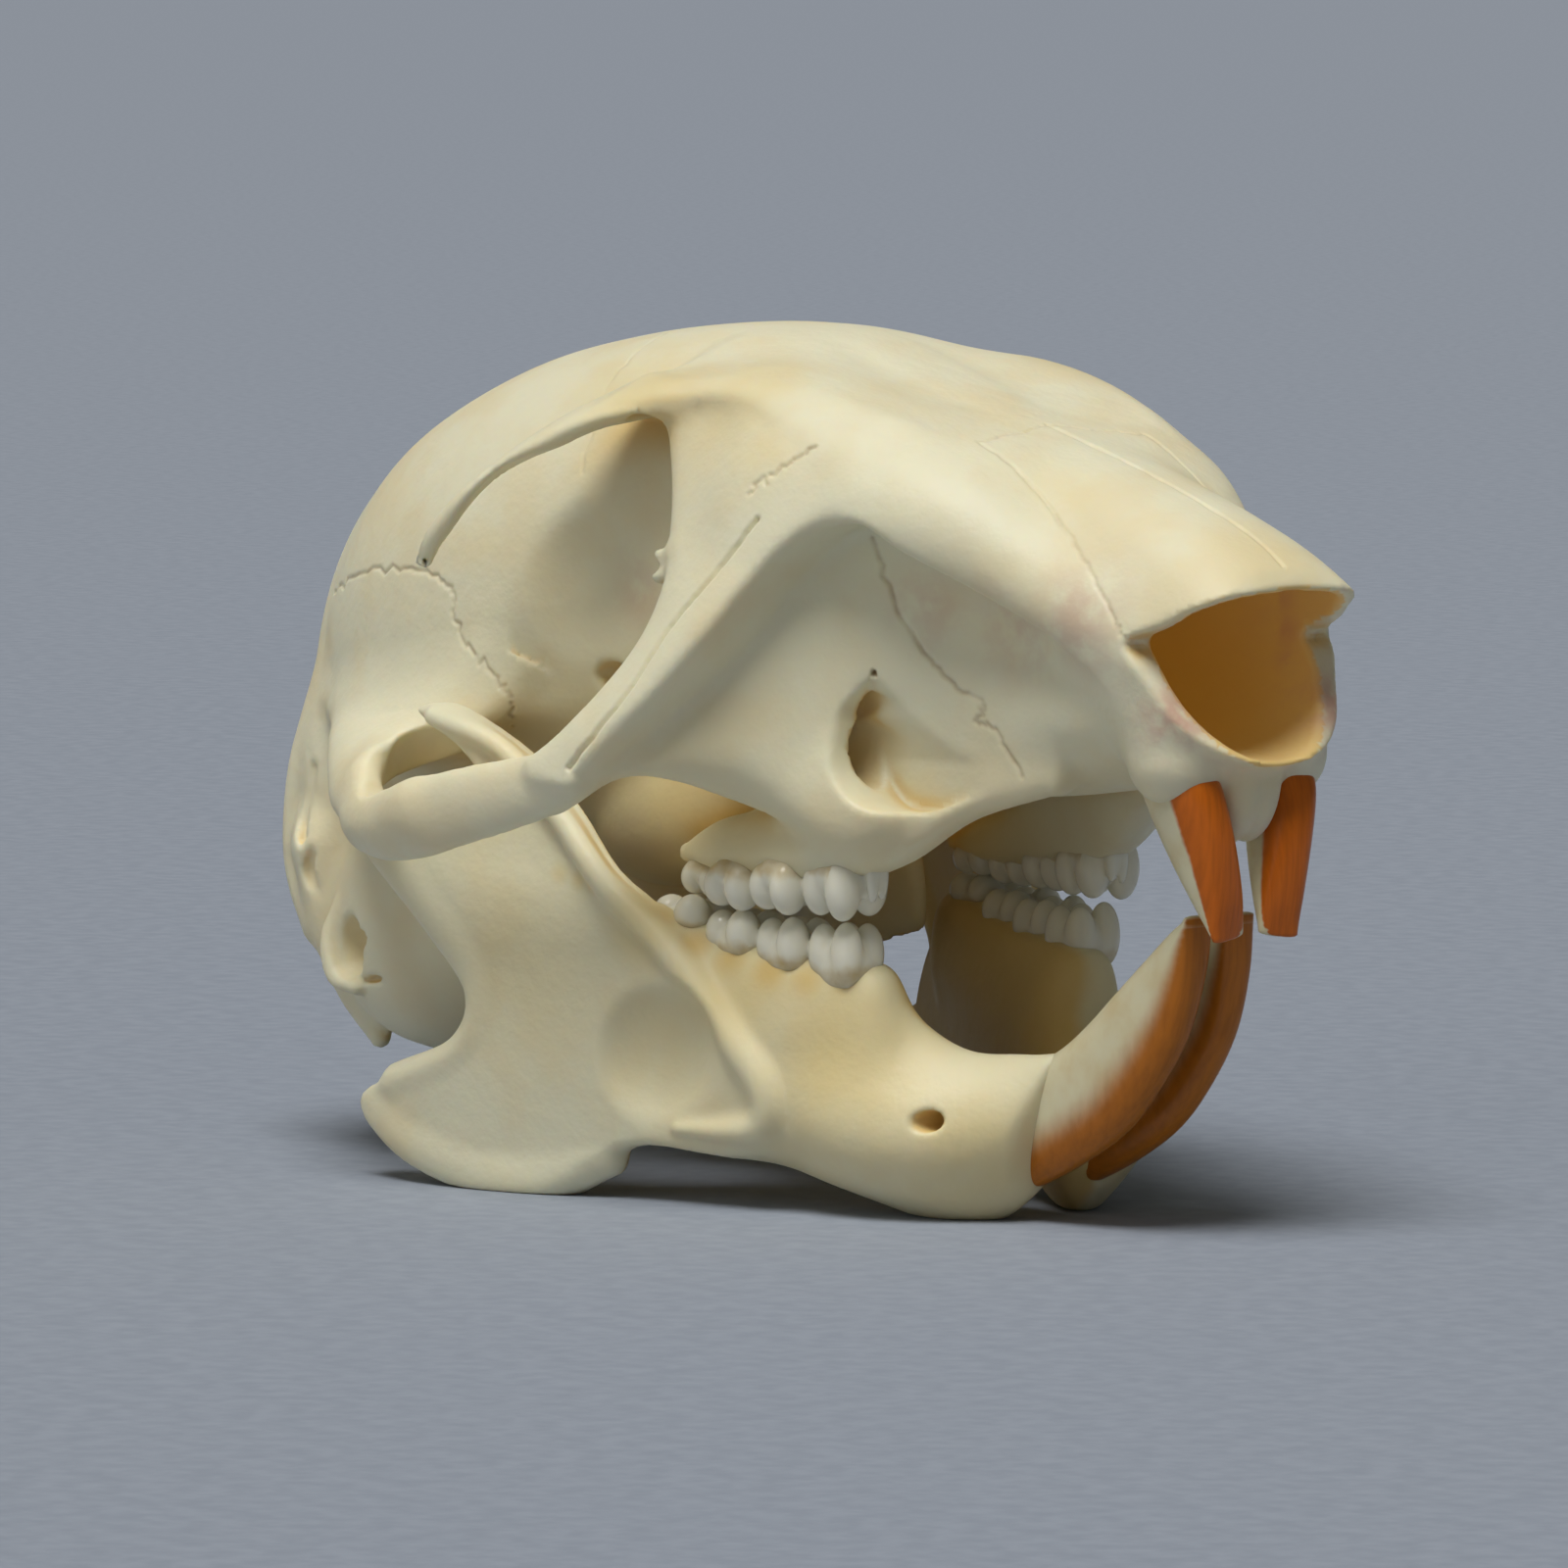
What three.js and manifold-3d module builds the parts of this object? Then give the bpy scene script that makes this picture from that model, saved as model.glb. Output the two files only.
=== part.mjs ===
// The skull of a tree squirrel with its lower jaw, life size, lying on a floor as it rests by itself.
// Millimetres. x runs forward from the back of the head, y to the animal's left, z up from the floor.
// The bone is a smooth field: each feature is a rounded form that is blended into the rest or taken
// out of it. The field's surface is turned into triangles, thinned out, and parted at the sutures.
import * as THREE from 'three';
import { mergeVertices } from 'three/addons/utils/BufferGeometryUtils.js';
import Module from 'manifold-3d';

// Driving dimensions, in mm
const MID_LENGTH = 25.85;        // from the back of the head to the frame's origin
const NOSE_TIP = 52.7;           // front end of the nasal bones
const CROWN = 33.1;              // top of the skull over the floor
const BRAINCASE_HALF = 9.9;      // half the width of the braincase
const SNOUT_HALF = 4.5;          // half the width of the snout at its front
const ARCH_HALF = 14.6;          // from the midline to the middle of the cheekbone
const SUTURE_GAP = 0.3;          // clear space between two bones
const SOCKET_GAP = 0.35;         // clear space round a tooth root or an ear capsule
const BONE_CELL = 0.5;           // grid that a bone's surface is found on
const TOOTH_CELL = 0.3;          // grid for a tooth
const SMALLEST_BONE = 2;         // mm3; a chip smaller than this falls away at the sutures

// Triangles that each piece keeps
const TRIANGLES = {
  cranium: 3650, jaw: 860, upperRow: 270, lowerRow: 220,
  earCapsule: 240, earSocket: 200, upperIncisor: 150, lowerIncisor: 170 };

const wasm = await Module();
wasm.setup();

// Blends: the smaller or the larger of two distances, rounded over a length
const joined = (a, b, r) => {
  const h = r > 0 ? Math.max(r - Math.abs(a - b), 0) / r : 0;
  return Math.min(a, b) - h * h * r / 4;
};
const shared = (a, b, r) => -joined(-a, -b, r);
const mix = (a, b, t) => a + (b - a) * t;
const vec = p => new THREE.Vector3(...p);

// An egg: a centre, three half lengths, and turns about y and z in degrees
function egg(centre, radii, turnY = 0, turnZ = 0) {
  const turn = new THREE.Matrix4().makeRotationFromEuler(
    new THREE.Euler(0, THREE.MathUtils.degToRad(turnY), THREE.MathUtils.degToRad(turnZ), 'ZYX'));
  const m = turn.elements;
  const reach = [0, 1, 2].map(i => Math.hypot(m[i] * radii[0], m[4 + i] * radii[1], m[8 + i] * radii[2]));
  const box = new THREE.Box3(vec(centre).sub(vec(reach)), vec(centre).add(vec(reach)));
  const at = (x, y, z) => {
    const q = [x - centre[0], y - centre[1], z - centre[2]];
    let near = 0;
    let steep = 0;
    for (let k = 0; k < 3; k++) {
      const along = (m[4 * k] * q[0] + m[4 * k + 1] * q[1] + m[4 * k + 2] * q[2]) / radii[k];
      near += along * along;
      steep += (along / radii[k]) ** 2;
    }
    near = Math.sqrt(near);
    return near * (near - 1) / Math.max(Math.sqrt(steep), 1e-6);
  };
  return { box, at };
}

// A blade of bone: its section is an oval that spans from an upper edge to a lower edge
function blade(upper, lower, thickness, power = 2, steps = 4) {
  const n = (upper.length - 1) * steps;
  const top = new THREE.CatmullRomCurve3(upper.map(vec), false, 'catmullrom');
  const low = new THREE.CatmullRomCurve3(lower.map(vec), false, 'catmullrom');
  const thick = new THREE.CatmullRomCurve3(thickness.map(t => vec([t, 0, 0])), false, 'catmullrom');
  const rings = [...Array(n + 1).keys()].map(i => {
    const a = top.getPoint(i / n);
    const b = low.getPoint(i / n);
    const up = a.clone().sub(b);
    return { centre: a.add(b).multiplyScalar(0.5), tall: up.length() / 2, up: up.normalize(),
      wide: thick.getPoint(i / n).x / 2 };
  });
  const box = new THREE.Box3();
  for (const { centre, tall, wide } of rings) {
    box.union(new THREE.Box3().expandByPoint(centre).expandByScalar(Math.max(tall, wide)));
  }
  const spans = rings.slice(1).map((b, i) => {
    const a = rings[i];
    const run = b.centre.clone().sub(a.centre);
    const length = run.length();
    const ahead = run.clone().divideScalar(length);
    const side = ahead.clone().cross(a.up.clone().add(b.up)).normalize();
    return { a, b, run, length, ahead, side };
  });
  const at = (x, y, z) => {
    let least = Infinity;
    for (const { a, b, run, length, ahead, side } of spans) {
      let qx = x - a.centre.x;
      let qy = y - a.centre.y;
      let qz = z - a.centre.z;
      const along = qx * ahead.x + qy * ahead.y + qz * ahead.z;
      const s = Math.min(Math.max(along / length, 0), 1);
      qx -= s * run.x;
      qy -= s * run.y;
      qz -= s * run.z;
      const tall = mix(a.tall, b.tall, s);
      const wide = mix(a.wide, b.wide, s);
      const end = Math.min(tall, wide);
      const high = qx * mix(a.up.x, b.up.x, s) + qy * mix(a.up.y, b.up.y, s) + qz * mix(a.up.z, b.up.z, s);
      const u = Math.abs(high) / tall;
      const v = Math.abs(qx * side.x + qy * side.y + qz * side.z) / wide;
      const w = Math.abs(along - s * length) / end;
      const near = (u ** power + v ** power + w ** power) ** (1 / power);
      const steep = Math.hypot(u ** (power - 1) / tall, v ** (power - 1) / wide, w ** (power - 1) / end);
      least = Math.min(least, (near - 1) * near ** (power - 1) / Math.max(steep, 1e-6));
    }
    return least;
  };
  return { box, at };
}

// A round rib of bone along a curve, with its radius at each point
function rib(points, radii, steps = 4) {
  const n = (points.length - 1) * steps;
  const path = new THREE.CatmullRomCurve3(points.map(vec), false, 'catmullrom');
  const size = new THREE.CatmullRomCurve3(radii.map(r => vec([r, 0, 0])), false, 'catmullrom');
  const beads = [...Array(n + 1).keys()].map(i => ({ p: path.getPoint(i / n), r: size.getPoint(i / n).x }));
  const box = new THREE.Box3();
  for (const { p, r } of beads) box.union(new THREE.Box3().expandByPoint(p).expandByScalar(r));
  const at = (x, y, z) => {
    let least = Infinity;
    for (let i = 0; i < n; i++) {
      const { p, r } = beads[i];
      const q = beads[i + 1];
      const [rx, ry, rz] = [q.p.x - p.x, q.p.y - p.y, q.p.z - p.z];
      const [dx, dy, dz] = [x - p.x, y - p.y, z - p.z];
      const s = Math.min(Math.max((dx * rx + dy * ry + dz * rz) / (rx * rx + ry * ry + rz * rz), 0), 1);
      least = Math.min(least, Math.hypot(dx - s * rx, dy - s * ry, dz - s * rz) - mix(r, q.r, s));
    }
    return least;
  };
  return { box, at };
}

// A hull of sections across x: [x, half width, top, bottom, height of the widest point, squareness]
function hull(stations) {
  const columns = stations[0].length - 1;
  const curve = new THREE.CubicInterpolant(Float32Array.from(stations, s => s[0]),
    Float32Array.from(stations.flatMap(s => s.slice(1))), columns, new Float32Array(columns));
  const first = stations[0][0];
  const last = stations.at(-1)[0];
  const widest = Math.max(...stations.map(s => s[1]));
  const box = new THREE.Box3(new THREE.Vector3(first, -widest, Math.min(...stations.map(s => s[3]))),
    new THREE.Vector3(last, widest, Math.max(...stations.map(s => s[2]))));
  const level = (x, y, z) => {
    const [half, top, bottom, belly, square] = curve.evaluate(Math.min(Math.max(x, first), last));
    const reach = z > belly ? top - belly : belly - bottom;
    return ((y / half) ** square + (Math.abs(z - belly) / reach) ** square) ** (1 / square);
  };
  const at = (x, y, z) => {
    const e = 0.05;
    const here = level(x, Math.abs(y), z);
    const steep = Math.hypot(level(x + e, Math.abs(y), z) - here, level(x, Math.abs(y) + e, z) - here,
      level(x, Math.abs(y), z + e) - here) / e;
    return (here - 1) / Math.max(steep, 0.02);
  };
  return { box, at };
}

// A flat half space: a point on its face and the way out of it
function ground(point, outward) {
  const n = vec(outward).normalize();
  return { at: (x, y, z) => (x - point[0]) * n.x + (y - point[1]) * n.y + (z - point[2]) * n.z };
}

// A thin upright plate: a closed outline in x and z, its place sideways, and its thickness
function plate(outline, sideways, thickness) {
  const rim = new THREE.CatmullRomCurve3(outline.map(([x, z]) => vec([x, 0, z])), true, 'catmullrom')
    .getPoints(outline.length * 3).slice(0, -1);
  const box = new THREE.Box3().setFromPoints(rim);
  box.max.y = 2 * ARCH_HALF;
  const round = 0.35;
  const at = (x, y, z) => {
    let near = Infinity;
    let inside = false;
    for (let i = 0, j = rim.length - 1; i < rim.length; j = i++) {
      const [a, b] = [rim[j], rim[i]];
      const [ex, ez] = [b.x - a.x, b.z - a.z];
      const [wx, wz] = [x - a.x, z - a.z];
      const s = Math.min(Math.max((wx * ex + wz * ez) / (ex * ex + ez * ez), 0), 1);
      near = Math.min(near, Math.hypot(wx - s * ex, wz - s * ez));
      if ((a.z > z) !== (b.z > z) && wx < ex * wz / ez) inside = !inside;
    }
    const u = (inside ? -near : near) + round;
    const v = Math.abs(y - sideways(x, z)) - thickness / 2 + round;
    return Math.min(Math.max(u, v), 0) + Math.hypot(Math.max(u, 0), Math.max(v, 0)) - round;
  };
  return { box, at };
}

// A body made by adding and cutting forms in turn; each works only near its own box
const beyond = (box, x, y, z) => x < box.min.x || x > box.max.x || y < box.min.y || y > box.max.y
  || z < box.min.z || z > box.max.z;
class Bone {
  constructor() {
    this.steps = [];
  }
  step(form, blend, how) {
    const box = form.box ? form.box.clone().expandByScalar(blend + 0.8) : null;
    this.steps.push({ form, blend, how, box });
    return this;
  }
  add(form, blend = 0.5) {
    return this.step(form, blend, (d, e, r) => joined(d, e, r));
  }
  cut(form, blend = 0.3) {
    return this.step(form, blend, (d, e, r) => shared(d, -e, r));
  }
  keep(form, blend = 0.3) {
    return this.step(form, blend, (d, e, r) => shared(d, e, r));
  }
  at(x, y, z) {
    let d = 6;
    for (const { form, blend, how, box } of this.steps) {
      if (!box || !beyond(box, x, y, z)) d = how(d, form.at(x, y, z), blend);
    }
    return d;
  }
}

// The field's surface as triangles: one point in each grid cell that it crosses
function surface(field, low, high, cell, level = 0) {
  const count = [0, 1, 2].map(i => Math.ceil((high[i] - low[i]) / cell) + 1);
  const [nx, ny, nz] = count;
  const at = (i, j, k) => (i * ny + j) * nz + k;
  const value = new Float32Array(nx * ny * nz);
  for (let i = 0; i < nx; i++) {
    for (let j = 0; j < ny; j++) {
      for (let k = 0; k < nz; k++) {
        const edge = i === 0 || j === 0 || k === 0 || i === nx - 1 || j === ny - 1 || k === nz - 1;
        const d = field(low[0] + i * cell, low[1] + j * cell, low[2] + k * cell) - level;
        value[at(i, j, k)] = edge ? Math.max(d, cell) : d;
      }
    }
  }
  const corner = [...Array(8).keys()].map(c => [c >> 2 & 1, c >> 1 & 1, c & 1]);
  const beside = corner.map((a, i) => corner.flatMap((b, j) =>
    Math.abs(a[0] - b[0]) + Math.abs(a[1] - b[1]) + Math.abs(a[2] - b[2]) === 1 ? [j] : []));
  const spot = (i, j, k, c) => at(i + corner[c][0], j + corner[c][1], k + corner[c][2]);
  // A cell crossed by two sheets is closed up, so that no edge has more than two faces
  for (let changed = true, round = 0; changed && round < 40; round++) {
    changed = false;
    for (let i = 0; i < nx - 1; i++) {
      for (let j = 0; j < ny - 1; j++) {
        for (let k = 0; k < nz - 1; k++) {
          const inside = corner.map((_, c) => value[spot(i, j, k, c)] < 0);
          const total = inside.filter(Boolean).length;
          if (total === 0 || total === 8) continue;
          const group = Array(8).fill(-1);
          const sizes = [];
          for (let c = 0; c < 8; c++) {
            if (group[c] >= 0) continue;
            const queue = [c];
            group[c] = sizes.length;
            for (const e of queue) {
              for (const f of beside[e]) {
                if (group[f] < 0 && inside[f] === inside[c]) {
                  group[f] = sizes.length;
                  queue.push(f);
                }
              }
            }
            sizes.push({ size: queue.length, inside: inside[c], members: queue });
          }
          for (const kind of [true, false]) {
            const kin = sizes.filter(s => s.inside === kind).sort((a, b) => a.size - b.size);
            if (kin.length < 2) continue;
            for (const c of kin[0].members) value[spot(i, j, k, c)] = (kind ? 0.1 : -0.1) * cell;
            changed = true;
            break;
          }
        }
      }
    }
  }
  const points = [];
  const index = new Int32Array(nx * ny * nz).fill(-1);
  for (let i = 0; i < nx - 1; i++) {
    for (let j = 0; j < ny - 1; j++) {
      for (let k = 0; k < nz - 1; k++) {
        const sum = [0, 0, 0];
        let crossings = 0;
        for (let c = 0; c < 8; c++) {
          for (const e of beside[c]) {
            const [a, b] = [value[spot(i, j, k, c)], value[spot(i, j, k, e)]];
            if (e < c || (a < 0) === (b < 0)) continue;
            const t = a / (a - b);
            for (let m = 0; m < 3; m++) sum[m] += mix(corner[c][m], corner[e][m], t);
            crossings++;
          }
        }
        if (!crossings) continue;
        index[at(i, j, k)] = points.length;
        points.push([i, j, k].map((n, m) => low[m] + (n + sum[m] / crossings) * cell));
      }
    }
  }
  const faces = [];
  const unit = [[1, 0, 0], [0, 1, 0], [0, 0, 1]];
  for (let i = 0; i < nx - 1; i++) {
    for (let j = 0; j < ny - 1; j++) {
      for (let k = 0; k < nz - 1; k++) {
        for (let axis = 0; axis < 3; axis++) {
          const [d, u, w] = [0, 1, 2].map(n => unit[(axis + n) % 3]);
          const inside = value[at(i, j, k)] < 0;
          if (inside === (value[at(i + d[0], j + d[1], k + d[2])] < 0)) continue;
          const near = (a, b) => index[at(...[i, j, k].map((n, m) => n - a * u[m] - b * w[m]))];
          const ring = [near(1, 1), near(0, 1), near(0, 0), near(1, 0)];
          if (!inside) ring.reverse();
          const gap = (a, b) => Math.hypot(...points[a].map((v, m) => v - points[b][m]));
          const turn = gap(ring[0], ring[2]) < gap(ring[1], ring[3]) ? 0 : 1;
          const [a, b, c, e] = [0, 1, 2, 3].map(n => ring[(n + turn) % 4]);
          faces.push([a, b, c], [a, c, e]);
        }
      }
    }
  }
  return { points, faces };
}

// Thins the triangles out: the edge whose loss changes the shape least goes first
function thinned({ points, faces }, target) {
  const p = points.map(vec);
  const f = faces.map(t => [...t]);
  const around = p.map(() => new Set());
  f.forEach((t, i) => t.forEach(v => around[v].add(i)));
  const plane = t => {
    const n = p[t[1]].clone().sub(p[t[0]]).cross(p[t[2]].clone().sub(p[t[0]]));
    const area = n.length();
    n.divideScalar(Math.max(area, 1e-12));
    return { n, area, d: -n.dot(p[t[0]]) };
  };
  const quad = p.map(() => new Float64Array(10));
  for (const t of f) {
    const { n, area, d } = plane(t);
    const terms = [n.x * n.x, n.x * n.y, n.x * n.z, n.x * d,
      n.y * n.y, n.y * n.z, n.y * d, n.z * n.z, n.z * d, d * d];
    for (const v of t) terms.forEach((q, m) => { quad[v][m] += q * area; });
  }
  const error = (q, { x, y, z }) => q[0] * x * x + 2 * q[1] * x * y + 2 * q[2] * x * z + 2 * q[3] * x
    + q[4] * y * y + 2 * q[5] * y * z + 2 * q[6] * y + q[7] * z * z + 2 * q[8] * z + q[9];
  const plan = (a, b) => {
    const q = quad[a].map((v, m) => v + quad[b][m]);
    const middle = p[a].clone().add(p[b]).multiplyScalar(0.5);
    const places = [p[a].clone(), p[b].clone(), middle];
    const m = new THREE.Matrix3().set(q[0], q[1], q[2], q[1], q[4], q[5], q[2], q[5], q[7]);
    if (Math.abs(m.determinant()) > 1e-4) {
      const best = new THREE.Vector3(-q[3], -q[6], -q[8]).applyMatrix3(m.invert());
      if (best.distanceTo(middle) < 2 * p[a].distanceTo(p[b])) places.push(best);
    }
    const costs = places.map(v => error(q, v) + 1e-5 * v.distanceToSquared(middle));
    const least = costs.indexOf(Math.min(...costs));
    return { a, b, place: places[least], cost: costs[least] + 1e-6 * p[a].distanceToSquared(p[b]) };
  };
  const heap = [];
  const push = e => {
    let i = heap.push(e) - 1;
    for (; i > 0; i = i - 1 >> 1) {
      const up = i - 1 >> 1;
      if (heap[up].cost <= heap[i].cost) break;
      [heap[up], heap[i]] = [heap[i], heap[up]];
    }
  };
  const pop = () => {
    const first = heap[0];
    const last = heap.pop();
    if (heap.length) {
      heap[0] = last;
      for (let i = 0; ;) {
        let m = i;
        for (const c of [2 * i + 1, 2 * i + 2]) if (c < heap.length && heap[c].cost < heap[m].cost) m = c;
        if (m === i) break;
        [heap[m], heap[i]] = [heap[i], heap[m]];
        i = m;
      }
    }
    return first;
  };
  const stamp = new Int32Array(p.length);
  const neighbours = v => {
    const out = new Set();
    for (const i of around[v]) for (const w of f[i]) if (w !== v) out.add(w);
    return out;
  };
  const queue = (a, b) => push({ ...plan(a, b), sa: stamp[a], sb: stamp[b] });
  p.forEach((_, a) => { for (const b of neighbours(a)) if (b > a) queue(a, b); });
  let left = f.length;
  while (left > target && heap.length) {
    const { a, b, place, sa, sb } = pop();
    if (sa !== stamp[a] || sb !== stamp[b] || !around[a].size || !around[b].size) continue;
    const shared = [...around[a]].filter(i => around[b].has(i));
    const ringB = neighbours(b);
    if (shared.length !== 2 || [...neighbours(a)].filter(v => ringB.has(v)).length !== 2) continue;
    const moved = [...around[a], ...around[b]].filter(i => !shared.includes(i));
    const flips = moved.some(i => {
      const before = plane(f[i]);
      const [x, y, z] = f[i].map(v => v === a || v === b ? place : p[v]);
      const n = y.clone().sub(x).cross(z.clone().sub(x));
      const area = n.length();
      const longest = Math.max(x.distanceToSquared(y), y.distanceToSquared(z), z.distanceToSquared(x));
      return n.dot(before.n) < 0.3 * area || area < 0.06 * longest;
    });
    if (flips) continue;
    p[a] = place;
    quad[a] = quad[a].map((v, m) => v + quad[b][m]);
    for (const i of shared) for (const v of f[i]) around[v].delete(i);
    for (const i of around[b]) {
      f[i] = f[i].map(v => v === b ? a : v);
      around[a].add(i);
    }
    around[b].clear();
    left -= 2;
    stamp[a]++;
    for (const v of neighbours(a)) queue(a, v);
  }
  const rank = new Map();
  const kept = new Set();
  around.forEach(set => set.forEach(i => kept.add(i)));
  const out = { points: [], faces: [] };
  for (const i of kept) {
    out.faces.push(f[i].map(v => {
      if (!rank.has(v)) {
        rank.set(v, out.points.length);
        out.points.push(p[v].toArray());
      }
      return rank.get(v);
    }));
  }
  return out;
}

// Between triangle lists, three.js geometries and solids that can be joined and cut
const solidOf = ({ points, faces }) => new wasm.Manifold(new wasm.Mesh({ numProp: 3,
  vertProperties: Float32Array.from(points.flat()), triVerts: Uint32Array.from(faces.flat()) }));
function solidFrom(geometry) {
  const bare = geometry.toNonIndexed();
  bare.deleteAttribute('normal');
  bare.deleteAttribute('uv');
  const welded = mergeVertices(bare, 1e-4);
  return new wasm.Manifold(new wasm.Mesh({ numProp: 3, vertProperties: welded.attributes.position.array,
    triVerts: Uint32Array.from(welded.index.array) }));
}
function geometryOf(solid) {
  const mesh = solid.getMesh();
  const geometry = new THREE.BufferGeometry();
  geometry.setAttribute('position', new THREE.BufferAttribute(new Float32Array(mesh.vertProperties), 3));
  geometry.setIndex([...mesh.triVerts]);
  geometry.computeVertexNormals();
  return geometry;
}
const mirrored = ({ points, faces }) => ({
  points: points.map(([x, y, z]) => [x, -y, z]),
  faces: faces.map(([a, b, c]) => [a, c, b]) });

// A thin saw cut across a bone: its middle, the way it faces, and its spread
function sawCut(centre, facing, wide, tall) {
  const box = new THREE.BoxGeometry(wide, tall, SUTURE_GAP);
  const turn = new THREE.Quaternion().setFromUnitVectors(new THREE.Vector3(0, 0, 1), vec(facing).normalize());
  return solidFrom(box.applyQuaternion(turn).translate(...centre));
}

// Cheek teeth, [x, y, height of the gum, length, width, crown], from the front one back
const UPPER_TEETH = [
  [35.7, 5.9, 13.6, 0.9, 1.0, 1.4],
  [34.4, 6.2, 13.2, 2.6, 2.8, 1.7],
  [32.0, 6.7, 13.0, 2.4, 3.2, 1.5],
  [29.6, 7.0, 13.0, 2.4, 3.1, 1.4],
  [27.4, 6.6, 13.1, 2.1, 2.5, 1.1]];
const LOWER_TEETH = [
  [34.0, 5.8, 9.2, 2.6, 2.3, 1.8],
  [31.6, 6.3, 9.5, 2.4, 2.6, 1.5],
  [29.3, 6.8, 9.9, 2.4, 2.8, 1.2],
  [26.8, 7.3, 10.4, 2.5, 2.8, 0.9]];

// A row of cheek teeth: each is a low crown with two cusps on its outer and two on its inner edge
function toothRow(teeth, way) {
  const row = new Bone();
  for (const [x, y, gum, length, width, crown] of teeth) {
    row.add(egg([x, y, gum + way * crown * 0.22], [length * 0.53, width * 0.53, crown * 0.78]), 0.1);
    for (const fore of [-0.24, 0.24]) {
      for (const [out, rise, size] of [[0.26, 0.66, 0.36], [-0.26, 0.6, 0.34]]) {
        const cusp = [x + fore * length, y + out * width, gum + way * rise * crown];
        row.add(egg(cusp, [length * 0.22, width * 0.2, crown * size]), 0.25);
      }
    }
  }
  return row;
}

// Upper incisor: front face and back face from the socket to the worn edge
const upperIncisor = new Bone().add(blade(
  [[50.8, 2.35, 17.7], [51.2, 2.2, 16.8], [51.4, 1.8, 15.0], [51.3, 1.4, 13.0], [51.0, 1.2, 11.2]],
  [[48.0, 2.4, 16.6], [48.4, 2.3, 15.7], [49.0, 1.9, 14.2], [49.9, 1.5, 12.6], [50.7, 1.25, 11.3]],
  [2.1, 2.1, 2.0, 1.9, 1.8], 2.6), 0);
// Lower incisor: inner curve and outer curve from the socket to the tip
const lowerIncisor = new Bone().add(blade(
  [[39.4, 1.55, 5.6], [41.6, 1.45, 6.7], [43.1, 1.35, 7.8], [44.5, 1.3, 9.0], [46.2, 1.2, 10.3],
    [47.8, 1.05, 11.5], [48.9, 1.0, 12.0]],
  [[39.6, 1.45, 1.5], [42.0, 1.4, 2.2], [44.6, 1.3, 3.7], [46.6, 1.25, 5.5], [48.2, 1.15, 7.5],
    [49.0, 1.05, 9.8], [49.2, 1.0, 11.9]],
  [1.6, 1.7, 1.7, 1.65, 1.55, 1.5, 1.4], 2.6), 0);

// Auditory bulla: the thin round ear capsule, with the rim of the ear opening at its side
const bulla = new Bone()
  .add(egg([10.8, 5.7, 8.9], [5.0, 3.6, 4.8], 12, -14), 0)
  .add(egg([8.2, 8.0, 10.2], [2.3, 1.7, 2.6]), 0.8)
  .cut(egg([7.6, 9.8, 10.0], [1.1, 2.0, 1.8], 10, 20), 0.3);

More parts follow.
